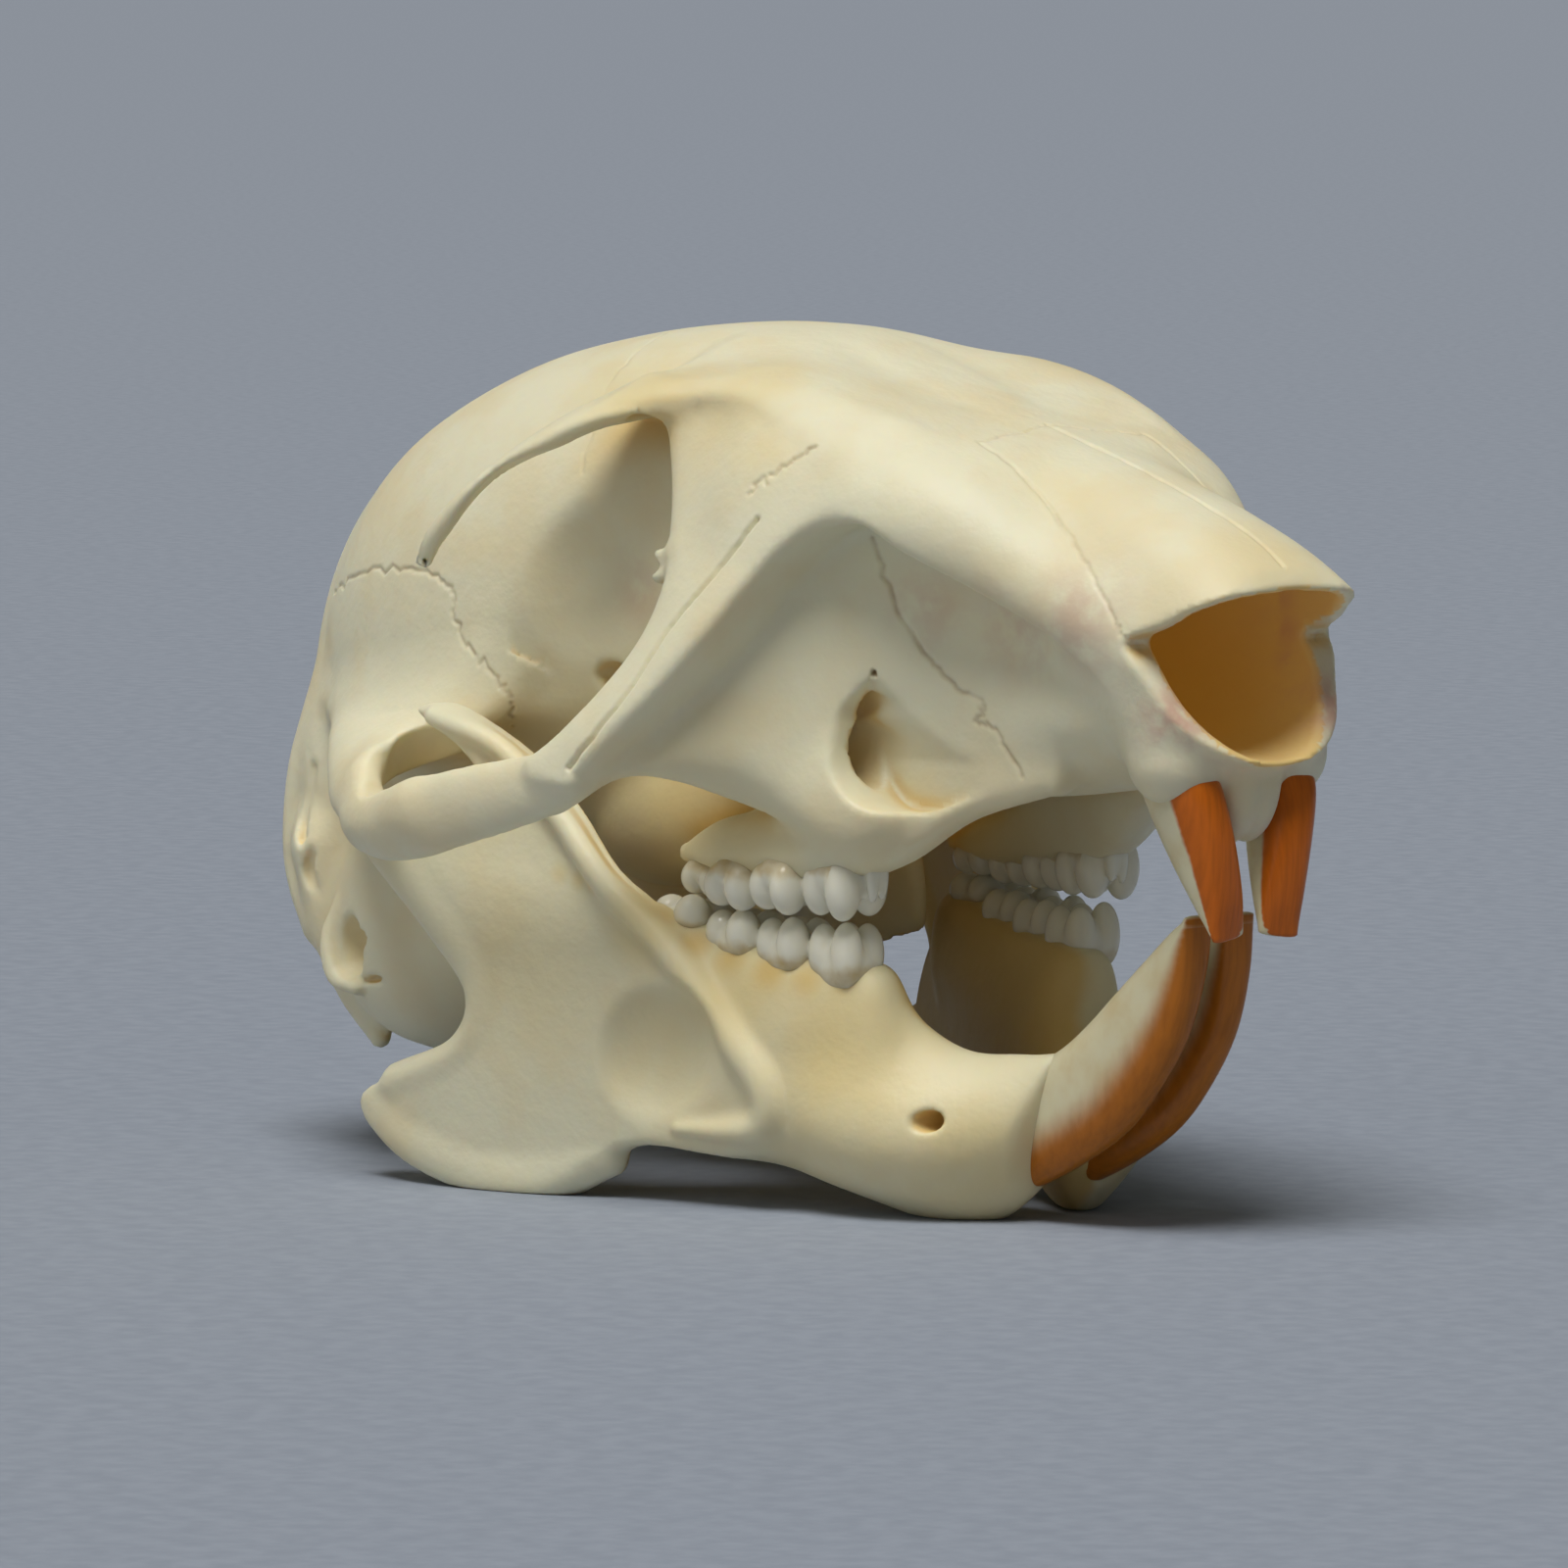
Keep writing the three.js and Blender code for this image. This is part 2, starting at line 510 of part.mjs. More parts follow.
// Cranium, without the ear capsules and the incisors
const cranium = new Bone()
  // Braincase, forehead and snout
  .add(hull([
    [0, 2.4, 21.0, 15.6, 18.2, 2.1],
    [1, 4.9, 24.0, 13.6, 18.3, 2.1],
    [2.5, 6.8, 26.4, 12.3, 18.5, 2.1],
    [5, 8.3, 28.7, 11.5, 19.0, 2.1],
    [8, 9.3, 30.2, 11.3, 19.8, 2.1],
    [12, BRAINCASE_HALF, CROWN - 1.5, 11.6, 20.6, 2.1],
    [16, BRAINCASE_HALF - 0.1, CROWN - 0.7, 12.2, 21.8, 2.15],
    [20, 8.9, CROWN - 0.2, 13.2, 23.5, 2.3],
    [24, 7.6, CROWN, 14.4, 25.0, 2.5],
    [28, 6.8, CROWN - 0.3, 15.5, 25.2, 2.5],
    [32, 6.6, 31.7, 15.8, 24.4, 2.5],
    [36, 6.5, 30.5, 15.7, 23.4, 2.4],
    [40, 6.0, 29.4, 15.9, 23.0, 2.3],
    [44, SNOUT_HALF + 0.7, 28.3, 16.4, 22.6, 2.3],
    [48, SNOUT_HALF + 0.2, 27.0, 17.0, 22.2, 2.3],
    [51, SNOUT_HALF - 0.1, 25.7, 17.6, 22.0, 2.3],
    [54, SNOUT_HALF - 0.5, 23.6, 18.4, 22.0, 2.3]]), 0)
  .keep(ground([1.0, 0, 18], [-1, 0, 0.16]), 1.5)
  .keep(ground([NOSE_TIP, 0, 24], [1, 0, 0.35]), 0.8)
  // Nuchal crest, the mastoid flange below it, the paroccipital process and the condyles
  .add(rib(
    [[3.9, 0, 27.2], [3.9, 3.6, 26.1], [3.8, 6.0, 22.6], [3.4, 7.0, 18], [2.9, 8.0, 14.5], [2.8, 8.2, 11.8],
      [3.8, 8.0, 8.8]],
    [0.3, 0.35, 0.4, 0.6, 0.9, 1.0, 0.9]), 1.2)
  .add(rib([[4.2, 8.0, 12.5], [4.9, 7.8, 8.6], [6.2, 7.4, 5.0]], [1.6, 1.2, 0.6]), 1)
  .add(egg([1.0, 3.2, 13.4], [1.6, 1.4, 2.5], -20), 0.8)
  // Ledge over the orbit and the long postorbital process behind it
  .add(blade(
    [[36, 7.2, 28.4], [33, 8.0, 29.9], [30.5, 8.6, 30.7], [28, 9.2, 30.5], [25.4, 9.6, 30.3]],
    [[36, 3.0, 29.4], [33, 3.4, 30.6], [30.5, 3.6, 31.4], [28, 3.8, 31.7], [25.4, 4.0, 31.7]],
    [1.6, 1.6, 1.5, 1.3, 1.2]), 1.6)
  .add(blade(
    [[27.6, 9.4, 30.3], [24.8, 11.3, 29.5], [21.2, 13.0, 27.4], [18.8, 13.6, 25.4], [17.3, 13.6, 24.0]],
    [[23.8, 7.4, 30.7], [22.0, 9.8, 29.3], [19.6, 12.0, 27.0], [18.0, 13.0, 25.2], [17.0, 13.4, 23.8]],
    [1.2, 1.1, 1.0, 0.9, 0.8]), 0.8)
  // Cheek in front of the orbit, the ridge from the snout down to the cheekbone, the plate below it
  .add(egg([32.6, 6.0, 25.6], [4.6, 4.6, 5.2], 0, -22), 1.5)
  .add(rib(
    [[48.5, 3.6, 22.0], [44.5, 4.6, 23.8], [40.8, 5.7, 25.5], [37.3, 6.9, 26.0], [34, 8.8, 24.6],
      [31.5, 10.8, 22.0], [29, 12.4, 19.0], [26.5, 13.3, 16.8]],
    [1.1, 1.3, 1.5, 1.6, 1.3, 1.1, 1.0, 0.8]), 1.5)
  .add(blade(
    [[38.5, 6.8, 25.4], [35.2, 8.4, 25.0], [32.9, 10.2, 23.2], [30.8, 11.8, 20.8], [28.5, 12.9, 18.4],
      [26, 13.5, 16.8]],
    [[38.4, 6.9, 15.4], [34.4, 7.8, 14.8], [31.6, 9.0, 15.6], [29.8, 10.7, 16.4], [28.3, 12, 16.5],
      [26.3, 13.2, 15.2]],
    [1.6, 2.4, 2.2, 1.8, 1.6, 1.4]), 0.8)
  .cut(egg([39.5, 11.4, 21.3], [10.7, 5.0, 6.6], 0, -24), 0.6)
  // Cheekbone, and the root that carries it on the side of the braincase
  .add(blade(
    [[28.5, 12.9, 18.2], [26, 13.6, 17.0], [24, ARCH_HALF - 0.5, 17.0], [22, ARCH_HALF, 16.6],
      [19.3, ARCH_HALF + 0.3, 15.9], [17, ARCH_HALF + 0.1, 14.9], [14.8, 14.0, 14.2]],
    [[28.3, 12.1, 16.7], [26.4, 13.2, 15.0], [24, 13.9, 14.4], [22, 14.3, 13.9],
      [19.5, ARCH_HALF - 0.1, 13.1], [17, 14.3, 12.7], [15.2, 13.8, 12.9]],
    [1.5, 1.4, 1.3, 1.3, 1.3, 1.2, 1.0]), 0.4)
  .add(blade(
    [[15.5, 8.6, 20.0], [13.2, 11.0, 17.6], [12.4, 12.4, 16.4], [13.4, 13.6, 15.7], [16, 14.5, 15.3],
      [19.0, 14.9, 15.4]],
    [[7.6, 9.0, 16.6], [9.2, 10.8, 16.0], [10.8, 12.3, 15.0], [12.8, 13.5, 14.0], [16, 14.4, 13.9],
      [19.0, 14.8, 14.6]],
    [1.8, 1.6, 1.4, 1.3, 1.1, 0.9]), 1.2)
  // Bone that holds the cheek teeth, the incisor's swelling, the pterygoid plates
  .add(blade([[37.0, 5.0, 17.5], [34, 5.4, 17.5], [30, 5.8, 17.5], [25.5, 6.0, 17]],
    [[37.4, 5.0, 14.6], [34, 5.6, 12.9], [30, 5.9, 12.7], [25.8, 5.9, 13.2]], [2.2, 3.4, 3.8, 2.6]), 0.8)
  .add(rib([[49.4, 2.5, 17.8], [48.6, 2.8, 20.0], [45.6, 3.4, 22.0]], [2.0, 2.0, 1.8]), 0.8)
  .add(blade(
    [[25.5, 3.6, 16.0], [22, 3.0, 15.5], [18.5, 3.6, 14.0]],
    [[25.2, 4.0, 13.0], [22, 3.4, 11.0], [18.0, 4.4, 9.4]],
    [1.2, 1.0, 1.0]), 0.5)
  // Nose opening with the cavity behind it, drawn back at its sides
  .cut(hull([
    [40, 2.4, 26.4, 19.6, 23.4, 2.2],
    [45, 3.0, 26.0, 18.7, 23.0, 2.2],
    [49, 3.4, 25.3, 18.2, 22.5, 2.2],
    [52, 3.5, 24.4, 18.0, 22.3, 2.2],
    [58, 3.6, 23.0, 17.7, 22.3, 2.2]]), 0.3)
  .cut(egg([57.6, 0, 21.4], [7.2, 14, 3.4]), 0.5)
  // Openings: the back of the palate, the infraorbital canal, the front of the orbit, the spinal cord
  .cut(blade(
    [[27.5, 0, 16.2], [24, 0, 16.4], [19, 0, 14.2]],
    [[27.0, 0, 13.0], [23, 0, 11.0], [18, 0, 10.0]],
    [3.6, 4.6, 4.6]), 0.4)
  .cut(blade(
    [[42.0, 5.9, 19.0], [39.0, 6.3, 19.4], [36.5, 6.6, 19.6], [34, 6.9, 19.4], [30, 8.0, 20.0]],
    [[41.6, 6.1, 16.6], [39.0, 6.4, 16.2], [36.5, 6.7, 16.2], [34, 7.0, 16.6], [30, 8.0, 17.0]],
    [1.6, 1.5, 1.4, 1.4, 2.2]), 0.25)
  .cut(egg([25.0, 11.2, 23.2], [5.0, 4.0, 5.2], 0, 10), 0.8)
  .cut(egg([0.4, 0, 15.2], [5.0, 3.2, 2.7]), 0.4);

// Lower jaw, left half: the body with the incisor's root, the ramus as a leaning plate, its ridges
const rampart = (x, z) => 12.4 - 0.18 * (x - 17 + Math.hypot(x - 17, 2)) + 0.03 * (z - 8)
  - 0.12 * Math.max(5 - z, 0) - 0.15 * Math.max(z - 10, 0);
const onRamus = (points, out) => points.map(([x, z]) => [x, rampart(x, z) + out, z]);
const jaw = new Bone()
  .add(blade(
    [[41.6, 1.6, 6.5], [39.9, 2.1, 6.3], [37.8, 3.0, 6.3], [36.0, 4.1, 7.5], [34.7, 5.0, 9.2], [30.8, 6.2, 9.8],
      [26.5, 7.4, 10.6], [22.6, 8.8, 9.4]],
    [[40.1, 1.5, 1.2], [38.4, 1.8, 0.0], [36.4, 2.4, -0.3], [34.6, 3.0, 0.1], [32.6, 3.7, 0.7], [29.4, 4.9, 1.6],
      [25.6, 6.4, 2.4], [21.8, 8.2, 3.0]],
    [2.2, 3.0, 3.5, 3.8, 4.0, 4.0, 3.0, 1.6]), 0)
  .add(blade([[34.9, 5.3, 9.3], [32, 6.0, 9.6], [29.2, 6.6, 10.1], [26.2, 7.2, 10.9]],
    [[34.6, 5.1, 6.0], [32, 5.7, 6.0], [29.2, 6.4, 6.4], [26.2, 7.1, 7.0]], [2.4, 2.9, 3.1, 3.0], 4), 0.8)
  .add(plate([
    [31.9, 4.1], [27.4, 10.4], [24.7, 12.6], [22.9, 14.8], [20.7, 16.8], [17.6, 18.4], [16.0, 18.5], [15.7, 18.1],
    [17.5, 17.2], [18.9, 15.9], [18.4, 14.7], [16.8, 14.3], [14.5, 14.6], [12.5, 14.3], [11.9, 13.6], [13.0, 12.7],
    [16.2, 9.9], [17.7, 7.6], [17.3, 5.6], [15.1, 4.3], [12.8, 3.3], [13.2, 2.0], [15.3, 0.8], [19.1, -0.4],
    [20.9, -0.3], [22.4, 0.3], [24.0, 1.0], [25.9, 1.6], [30.1, 2.1]], rampart, 1.15), 1.2)
  .add(rib(onRamus([
    [16.8, 18.1], [20.1, 17.0], [22.9, 14.5], [25.1, 12.0], [27.6, 9.9], [29.9, 7.0], [31.6, 4.8], [31.4, 3.4],
    [29.5, 2.6], [26.6, 2.1], [24.0, 1.6]], 0.35), [0.3, 0.4, 0.5, 0.6, 0.7, 0.8, 0.8, 0.7, 0.6, 0.5, 0.3]), 0.6)
  .add(rib(onRamus([[13.8, 13.5], [16.5, 10.1], [17.7, 7.8], [16.8, 5.4], [14.3, 4.0]], -0.1),
    [0.8, 0.75, 0.7, 0.7, 0.6]), 0.6)
  .add(rib(onRamus([[13.5, 2.6], [15.6, 1.5], [19, 0.5], [21.4, 0.6], [24, 1.4]], -0.3),
    [0.7, 0.9, 0.9, 0.9, 0.6]), 0.7)
  .add(egg([13.0, 11.8, 13.8], [1.6, 1.0, 0.75], -12, 4), 0.6)
  .cut(egg([36.9, 5.0, 3.9], [0.5, 1.3, 0.45]), 0.2)
  .keep(ground([41.6, 0, 6.5], [0.96, 0, -0.28]), 0.3)
  .keep(ground([0, SUTURE_GAP / 2, 0], [0, -1, 0]), 0.1);

// Solids from the fields. A form on the left side is mirrored for the right
const whole = bone => (x, y, z) => bone.at(x, Math.abs(y), z);
const left = bone => (x, y, z) => bone.at(x, y, z);
const sides = { left: mesh => mesh, right: mirrored };
const pair = mesh => Object.values(sides).map(side => solidOf(side(mesh)));
const allOf = solids => solids.reduce((a, b) => a.add(b));
const largest = solid => solid.decompose().sort((a, b) => b.volume() - a.volume())[0];

const upperTooth = { low: [46, 0.1, 10.5], high: [52.5, 5, 20] };
const lowerTooth = { low: [37, 0.1, 0.5], high: [50, 3.6, 13.5] };
const earCapsule = { low: [3.5, 0.5, 2.5], high: [18, 11.5, 16] };
const upperTeeth = { low: [25.5, 3.5, 10.5], high: [38, 9.5, 15.5] };
const lowerTeeth = { low: [25, 3.5, 6.5], high: [37, 9.5, 13] };
const jawHalf = { low: [7, -0.4, -1.2], high: [44, 14, 20] };
const bothSides = { low: [-2, -16.5, 3], high: [54, 16.5, 34.5] };
const shapeOf = (field, { low, high }, cell, triangles, level = 0) =>
  thinned(surface(field, low, high, cell, level), triangles);
const upperIncisorMesh = shapeOf(left(upperIncisor), upperTooth, TOOTH_CELL, TRIANGLES.upperIncisor);
const lowerIncisorMesh = shapeOf(left(lowerIncisor), lowerTooth, TOOTH_CELL, TRIANGLES.lowerIncisor);
const bullaMesh = shapeOf(left(bulla), earCapsule, BONE_CELL, TRIANGLES.earCapsule);

// Cranium: sockets for the ear capsules and the incisors, cheek teeth joined on, then the sutures
const sockets = allOf([
  ...pair(shapeOf(left(bulla), earCapsule, BONE_CELL, TRIANGLES.earSocket, SOCKET_GAP)),
  ...pair(shapeOf(left(upperIncisor), upperTooth, TOOTH_CELL, TRIANGLES.upperIncisor, SOCKET_GAP))]);
const upperRow = shapeOf(left(toothRow(UPPER_TEETH, -1)), upperTeeth, TOOTH_CELL, TRIANGLES.upperRow);
const craniumMesh = shapeOf(whole(cranium), bothSides, BONE_CELL, TRIANGLES.cranium);
const sutures = allOf([
  sawCut([23.1, 0, 21], [1, 0, 0], 26, 17.6),
  sawCut([40.8, 0, 22], [1, 0, 0.36], 20, 24),
  ...[1, -1].flatMap(side => [
    sawCut([27.6, side * 12.7, 17.3], [-0.72, side * 0.5, -0.5], 6, 4.4),
    sawCut([15.1, side * 14.1, 14.4], [1, 0, 0], 6, 3.6)])]);
const skull = solidOf(craniumMesh).subtract(sockets).add(allOf(pair(upperRow))).subtract(sutures);
const boneName = ({ min, max }) => {
  if (min[1] > 10) return 'zygomatic_arch_left';
  if (max[1] < -10) return 'zygomatic_arch_right';
  if (min[0] < 5) return 'braincase';
  return max[0] > 50 ? 'snout' : 'midface';
};

// Lower jaw halves: teeth joined on, a socket for the incisor, and small flats where they touch the floor
const lowerRow = shapeOf(left(toothRow(LOWER_TEETH, 1)), lowerTeeth, TOOTH_CELL, TRIANGLES.lowerRow);
const jawMesh = shapeOf(left(jaw), jawHalf, BONE_CELL, TRIANGLES.jaw);
const jawSocket = shapeOf(left(lowerIncisor), lowerTooth, TOOTH_CELL, TRIANGLES.lowerIncisor, SOCKET_GAP);
const floor = solidFrom(new THREE.BoxGeometry(90, 60, 4).translate(25, 0, -2));
const jawBone = side => largest(solidOf(side(jawMesh)).add(solidOf(side(lowerRow)))
  .subtract(solidOf(side(jawSocket))).subtract(floor));

// Looks: ivory bone, yellow in the snout and the jaw; orange enamel
const BONE = { color: 0xd8d0b6, roughness: 0.6, metalness: 0 };
const AGED_BONE = { color: 0xd3c59b, roughness: 0.6, metalness: 0 };
const ENAMEL = { color: 0xc0601f, roughness: 0.35, metalness: 0 };

const part = new THREE.Group();
const frame = new THREE.Group();
frame.position.x = -MID_LENGTH;
part.add(frame);
function put(name, solid, look) {
  const mesh = new THREE.Mesh(geometryOf(solid), new THREE.MeshStandardMaterial(look));
  mesh.name = name;
  frame.add(mesh);
}
for (const bone of skull.decompose().filter(b => b.volume() > SMALLEST_BONE)) {
  const name = boneName(bone.boundingBox());
  put(name, bone, name === 'snout' ? AGED_BONE : BONE);
}
for (const [name, side] of Object.entries(sides)) {
  put(`auditory_bulla_${name}`, solidOf(side(bullaMesh)), BONE);
  put(`mandible_${name}`, jawBone(side), AGED_BONE);
  put(`upper_incisor_${name}`, solidOf(side(upperIncisorMesh)), ENAMEL);
  put(`lower_incisor_${name}`, solidOf(side(lowerIncisorMesh)), ENAMEL);
}

export default part;
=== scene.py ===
import math

import bmesh
import bpy
import numpy as np
from mathutils import Euler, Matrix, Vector


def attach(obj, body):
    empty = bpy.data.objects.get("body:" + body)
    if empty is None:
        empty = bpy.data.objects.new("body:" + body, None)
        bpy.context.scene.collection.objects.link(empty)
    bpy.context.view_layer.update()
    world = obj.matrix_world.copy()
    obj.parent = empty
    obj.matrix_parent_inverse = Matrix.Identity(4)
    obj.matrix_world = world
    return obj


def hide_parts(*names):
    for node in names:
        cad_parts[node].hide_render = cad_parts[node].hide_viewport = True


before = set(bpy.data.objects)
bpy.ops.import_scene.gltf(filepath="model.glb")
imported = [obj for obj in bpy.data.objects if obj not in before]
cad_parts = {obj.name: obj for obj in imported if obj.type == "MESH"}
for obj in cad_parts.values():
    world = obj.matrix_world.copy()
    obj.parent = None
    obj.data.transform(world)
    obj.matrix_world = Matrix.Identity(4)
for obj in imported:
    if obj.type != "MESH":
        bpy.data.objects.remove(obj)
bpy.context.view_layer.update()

# Lower jaw: two halves that meet at the chin, each of them one bone. A stout body holds the incisor's root
# and the cheek teeth; behind it a thin, leaning ramus ends in the coronoid, the condyle and the angle.
# All shapes are in millimetres: x forward from the back of the head, y to the animal's left, z up.
MID_LENGTH = 25.85       # from the back of the head to the frame's origin
JAW_CELL = 0.14          # spacing of the jaw's mesh
FAR = 60.0               # distance that counts as well outside a bone
REACH = 0.8              # how far past its own box a form still shapes the bone


def joined(a, b, over):
    """The nearer of two surfaces, rounded into one another over a length."""
    near = np.maximum(over - np.abs(a - b), 0) / max(over, 1e-6)
    return np.minimum(a, b) - near * near * over / 4


def shared(a, b, over):
    """What lies inside both, rounded the same way."""
    return -joined(-a, -b, over)


def curve(places, steps):
    """Points along a smooth curve through a few places."""
    p = np.asarray(places, float).reshape(len(places), -1)
    p = np.vstack([2 * p[0] - p[1], p, 2 * p[-1] - p[-2]])
    a, b, c, d = (p[i:len(p) - 3 + i, None] for i in range(4))
    t = (np.arange(steps) / steps)[None, :, None]
    run = b + ((c - a) * t + (2 * a - 5 * b + 4 * c - d) * t**2 + (3 * b - a - 3 * c + d) * t**3) / 2
    return np.vstack([run.reshape(-1, p.shape[1]), p[-2:-1]])


def egg(centre, radii, pitch=0, turn=0):
    """An egg: its centre, three half lengths, and its turns about y and z in degrees."""
    own = np.array(Euler((0, math.radians(pitch), math.radians(turn))).to_matrix())
    half = np.linalg.norm(own * radii, axis=1)

    def at(x, y, z):
        q = (x - centre[0], y - centre[1], z - centre[2])
        along = [sum(v * m for v, m in zip(q, own[:, k])) / radii[k] for k in range(3)]
        near = np.sqrt(sum(v * v for v in along))
        steep = np.sqrt(sum((v / r) ** 2 for v, r in zip(along, radii)))
        return near * (near - 1) / np.maximum(steep, 1e-6)

    return centre - half, centre + half, at


def blade(upper, lower, thickness, power=2, steps=6):
    """A bar of bone whose oval section spans from an upper edge to a lower edge."""
    top, low, wide = curve(upper, steps), curve(lower, steps), curve(thickness, steps)[:, 0] / 2
    centre, up = (top + low) / 2, top - low
    tall = np.linalg.norm(up, axis=1)
    up, tall = up / tall[:, None], tall / 2
    half = np.maximum(tall, wide)[:, None]
    runs = np.diff(centre, axis=0)
    side = np.cross(np.gradient(centre, axis=0), up)
    side /= np.linalg.norm(side, axis=1)[:, None]
    ahead = np.cross(up, side)

    def at(x, y, z):
        least, level = np.inf, np.inf
        for i, run in enumerate(runs):
            q = (x - centre[i, 0], y - centre[i, 1], z - centre[i, 2])
            turn = sum(v * n for v, n in zip(q, ahead[i + 1] - ahead[i])) - run @ ahead[i]
            place = -sum(v * n for v, n in zip(q, ahead[i])) / np.minimum(turn, -1e-3)
            s = np.clip(place, 0, 1)
            q = [v - s * r for v, r in zip(q, run)]
            t = tall[i] + s * (tall[i + 1] - tall[i])
            w = wide[i] + s * (wide[i + 1] - wide[i])
            reach = (t, w, np.minimum(t, w))
            off = [sum(v * (a + s * (b - a)) for v, a, b in zip(q, n[i], n[i + 1]))
                   for n in (up, side, ahead)]
            off = [np.abs(v) / r for v, r in zip(off, reach)]
            near = sum(v**power for v in off) ** (1 / power)
            steep = np.sqrt(sum((v ** (power - 1) / r) ** 2 for v, r in zip(off, reach)))
            far = sum(v * v for v in q) + (FAR * (place - s)) ** 2
            level = np.where(far < least, (near - 1) * near ** (power - 1) / np.maximum(steep, 1e-6), level)
            least = np.minimum(least, far)
        return level

    return (centre - half).min(0), (centre + half).max(0), at


def rib(places, radii, steps=8):
    """A round rib along a curve, with its radius at each place."""
    path, size = curve(places, steps), curve(radii, steps)[:, 0]

    def at(x, y, z):
        least = np.inf
        for a, run, r, more in zip(path, np.diff(path, axis=0), size, np.diff(size)):
            q = (x - a[0], y - a[1], z - a[2])
            s = np.clip(sum(v * w for v, w in zip(q, run)) / (run @ run), 0, 1)
            off = np.sqrt(sum((v - s * w) ** 2 for v, w in zip(q, run)))
            least = np.minimum(least, off - r - s * more)
        return least

    return path.min(0) - size.max(), path.max(0) + size.max(), at


def plate(outline, sideways, thickness, edge=0.35, steps=4):
    """An upright plate: its outline in x and z, its place sideways, its thickness, its edge's radius."""
    rim = curve([*outline[-2:], *outline, *outline[:2]], steps)[2 * steps:(len(outline) + 2) * steps]

    def at(x, y, z):
        near, inside = np.inf, False
        for a, b in zip(rim, np.roll(rim, -1, 0)):
            ex, ez = b - a
            wx, wz = x - a[0], z - a[1]
            s = np.clip((wx * ex + wz * ez) / (ex * ex + ez * ez), 0, 1)
            near = np.minimum(near, np.hypot(wx - s * ex, wz - s * ez))
            inside = inside ^ (((a[1] > z) != (b[1] > z)) & (wx < ex * wz / (ez if ez else 1e-9)))
        u = np.where(inside, -near, near) + edge
        v = np.abs(y - sideways(x, z)) - thickness / 2 + edge
        return np.minimum(np.maximum(u, v), 0) + np.hypot(np.maximum(u, 0), np.maximum(v, 0)) - edge

    (west, low), (east, high) = rim.min(0), rim.max(0)
    return np.array([west, -np.inf, low]), np.array([east, np.inf, high]), at


def ground(point, outward):
    """A flat half space: a point on its face and the way out of it."""
    n = np.array(outward, float) / np.linalg.norm(outward)
    everywhere = np.full(3, np.inf)
    return -everywhere, everywhere, lambda x, y, z: sum((v - p) * m for v, p, m in zip((x, y, z), point, n))


class Bone:
    """A body made by adding and cutting forms in turn, each of them near its own box."""

    def __init__(self, paired=False):
        self.steps, self.paired = [], paired

    def add(self, form, over=0.5):
        self.steps.append((form, over, joined))
        return self

    def cut(self, form, over=0.3):
        self.steps.append((form, over, lambda a, b, r: shared(a, -b, r)))
        return self

    def keep(self, form, over=0.3):
        self.steps.append((form, over, shared))
        return self

    def on_grid(self, axes):
        field = np.full([len(a) for a in axes], FAR, np.float32)
        for (low, high, at), over, way in self.steps:
            ends = zip(axes, low - over - REACH, high + over + REACH)
            part = tuple(slice(*np.searchsorted(a, span)) for a, *span in ends)
            if field[part].size:
                field[part] = way(field[part], at(*np.ix_(*(a[s] for a, s in zip(axes, part)))), over)
        return field

    def at(self, points):
        p = np.column_stack([points[:, 0], np.abs(points[:, 1]), points[:, 2]]) if self.paired else points
        distance = np.full(len(p), FAR)
        for (low, high, at), over, way in self.steps:
            near = np.all((p > low - over - REACH) & (p < high + over + REACH), 1)
            if near.any():
                distance[near] = way(distance[near], at(*p[near].T), over)
        return distance


def skin(bone, low, high, cell):
    """The bone's surface as four-sided faces: one point in each cell that it crosses, pulled onto it."""
    axes = [np.arange(a, b + cell, cell, np.float32) for a, b in zip(low, high)]
    field = bone.on_grid(axes)
    if bone.paired:
        field = np.concatenate([field[:, :0:-1], field], 1)
        axes[1] = np.concatenate([-axes[1][:0:-1], axes[1]])
    inside = field < 0
    corners = np.array([(i, j, k) for i in (0, 1) for j in (0, 1) for k in (0, 1)])
    size = np.array(field.shape) - 1
    count = sum(inside[i:size[0] + i, j:size[1] + j, k:size[2] + k].astype(np.int8) for i, j, k in corners)
    cells = np.argwhere((count > 0) & (count < 8))
    number = np.full(size, -1)
    number[tuple(cells.T)] = np.arange(len(cells))
    value = np.stack([field[tuple((cells + c).T)] for c in corners], 1).astype(float)
    place, crossings = np.zeros((len(cells), 3)), np.zeros(len(cells))
    for a in range(8):
        for b in range(a + 1, 8):
            if np.abs(corners[a] - corners[b]).sum() == 1:
                across = (value[:, a] < 0) != (value[:, b] < 0)
                t = np.where(across, value[:, a] / np.where(across, value[:, a] - value[:, b], 1), 0)
                place += across[:, None] * (corners[a] + t[:, None] * (corners[b] - corners[a]))
                crossings += across
    points = np.array([a[0] for a in axes]) + (cells + place / crossings[:, None]) * cell
    faces = []
    for axis in range(3):
        u, w = (axis + 1) % 3, (axis + 2) % 3
        here, ahead = np.swapaxes(inside, 0, axis)[:-1], np.swapaxes(inside, 0, axis)[1:]
        edge = np.argwhere(np.swapaxes(here != ahead, 0, axis))
        edge = edge[np.all((edge[:, [u, w]] > 0) & (edge[:, [u, w]] < size[[u, w]]), 1)]
        ring = []
        for du, dw in ((1, 1), (0, 1), (0, 0), (1, 0)):
            beside = edge.copy()
            beside[:, u] -= du
            beside[:, w] -= dw
            ring.append(number[tuple(beside.T)])
        ring = np.stack(ring, 1)
        leaving = ~inside[tuple(edge.T)]
        ring[leaving] = ring[leaving][:, ::-1]
        faces.append(ring)
    faces = np.concatenate(faces)
    for _ in range(2):
        way = outward(points, faces)
        move = np.clip(bone.at(points), -cell / 2, cell / 2)
        points = points - move[:, None] * way
    return points, faces


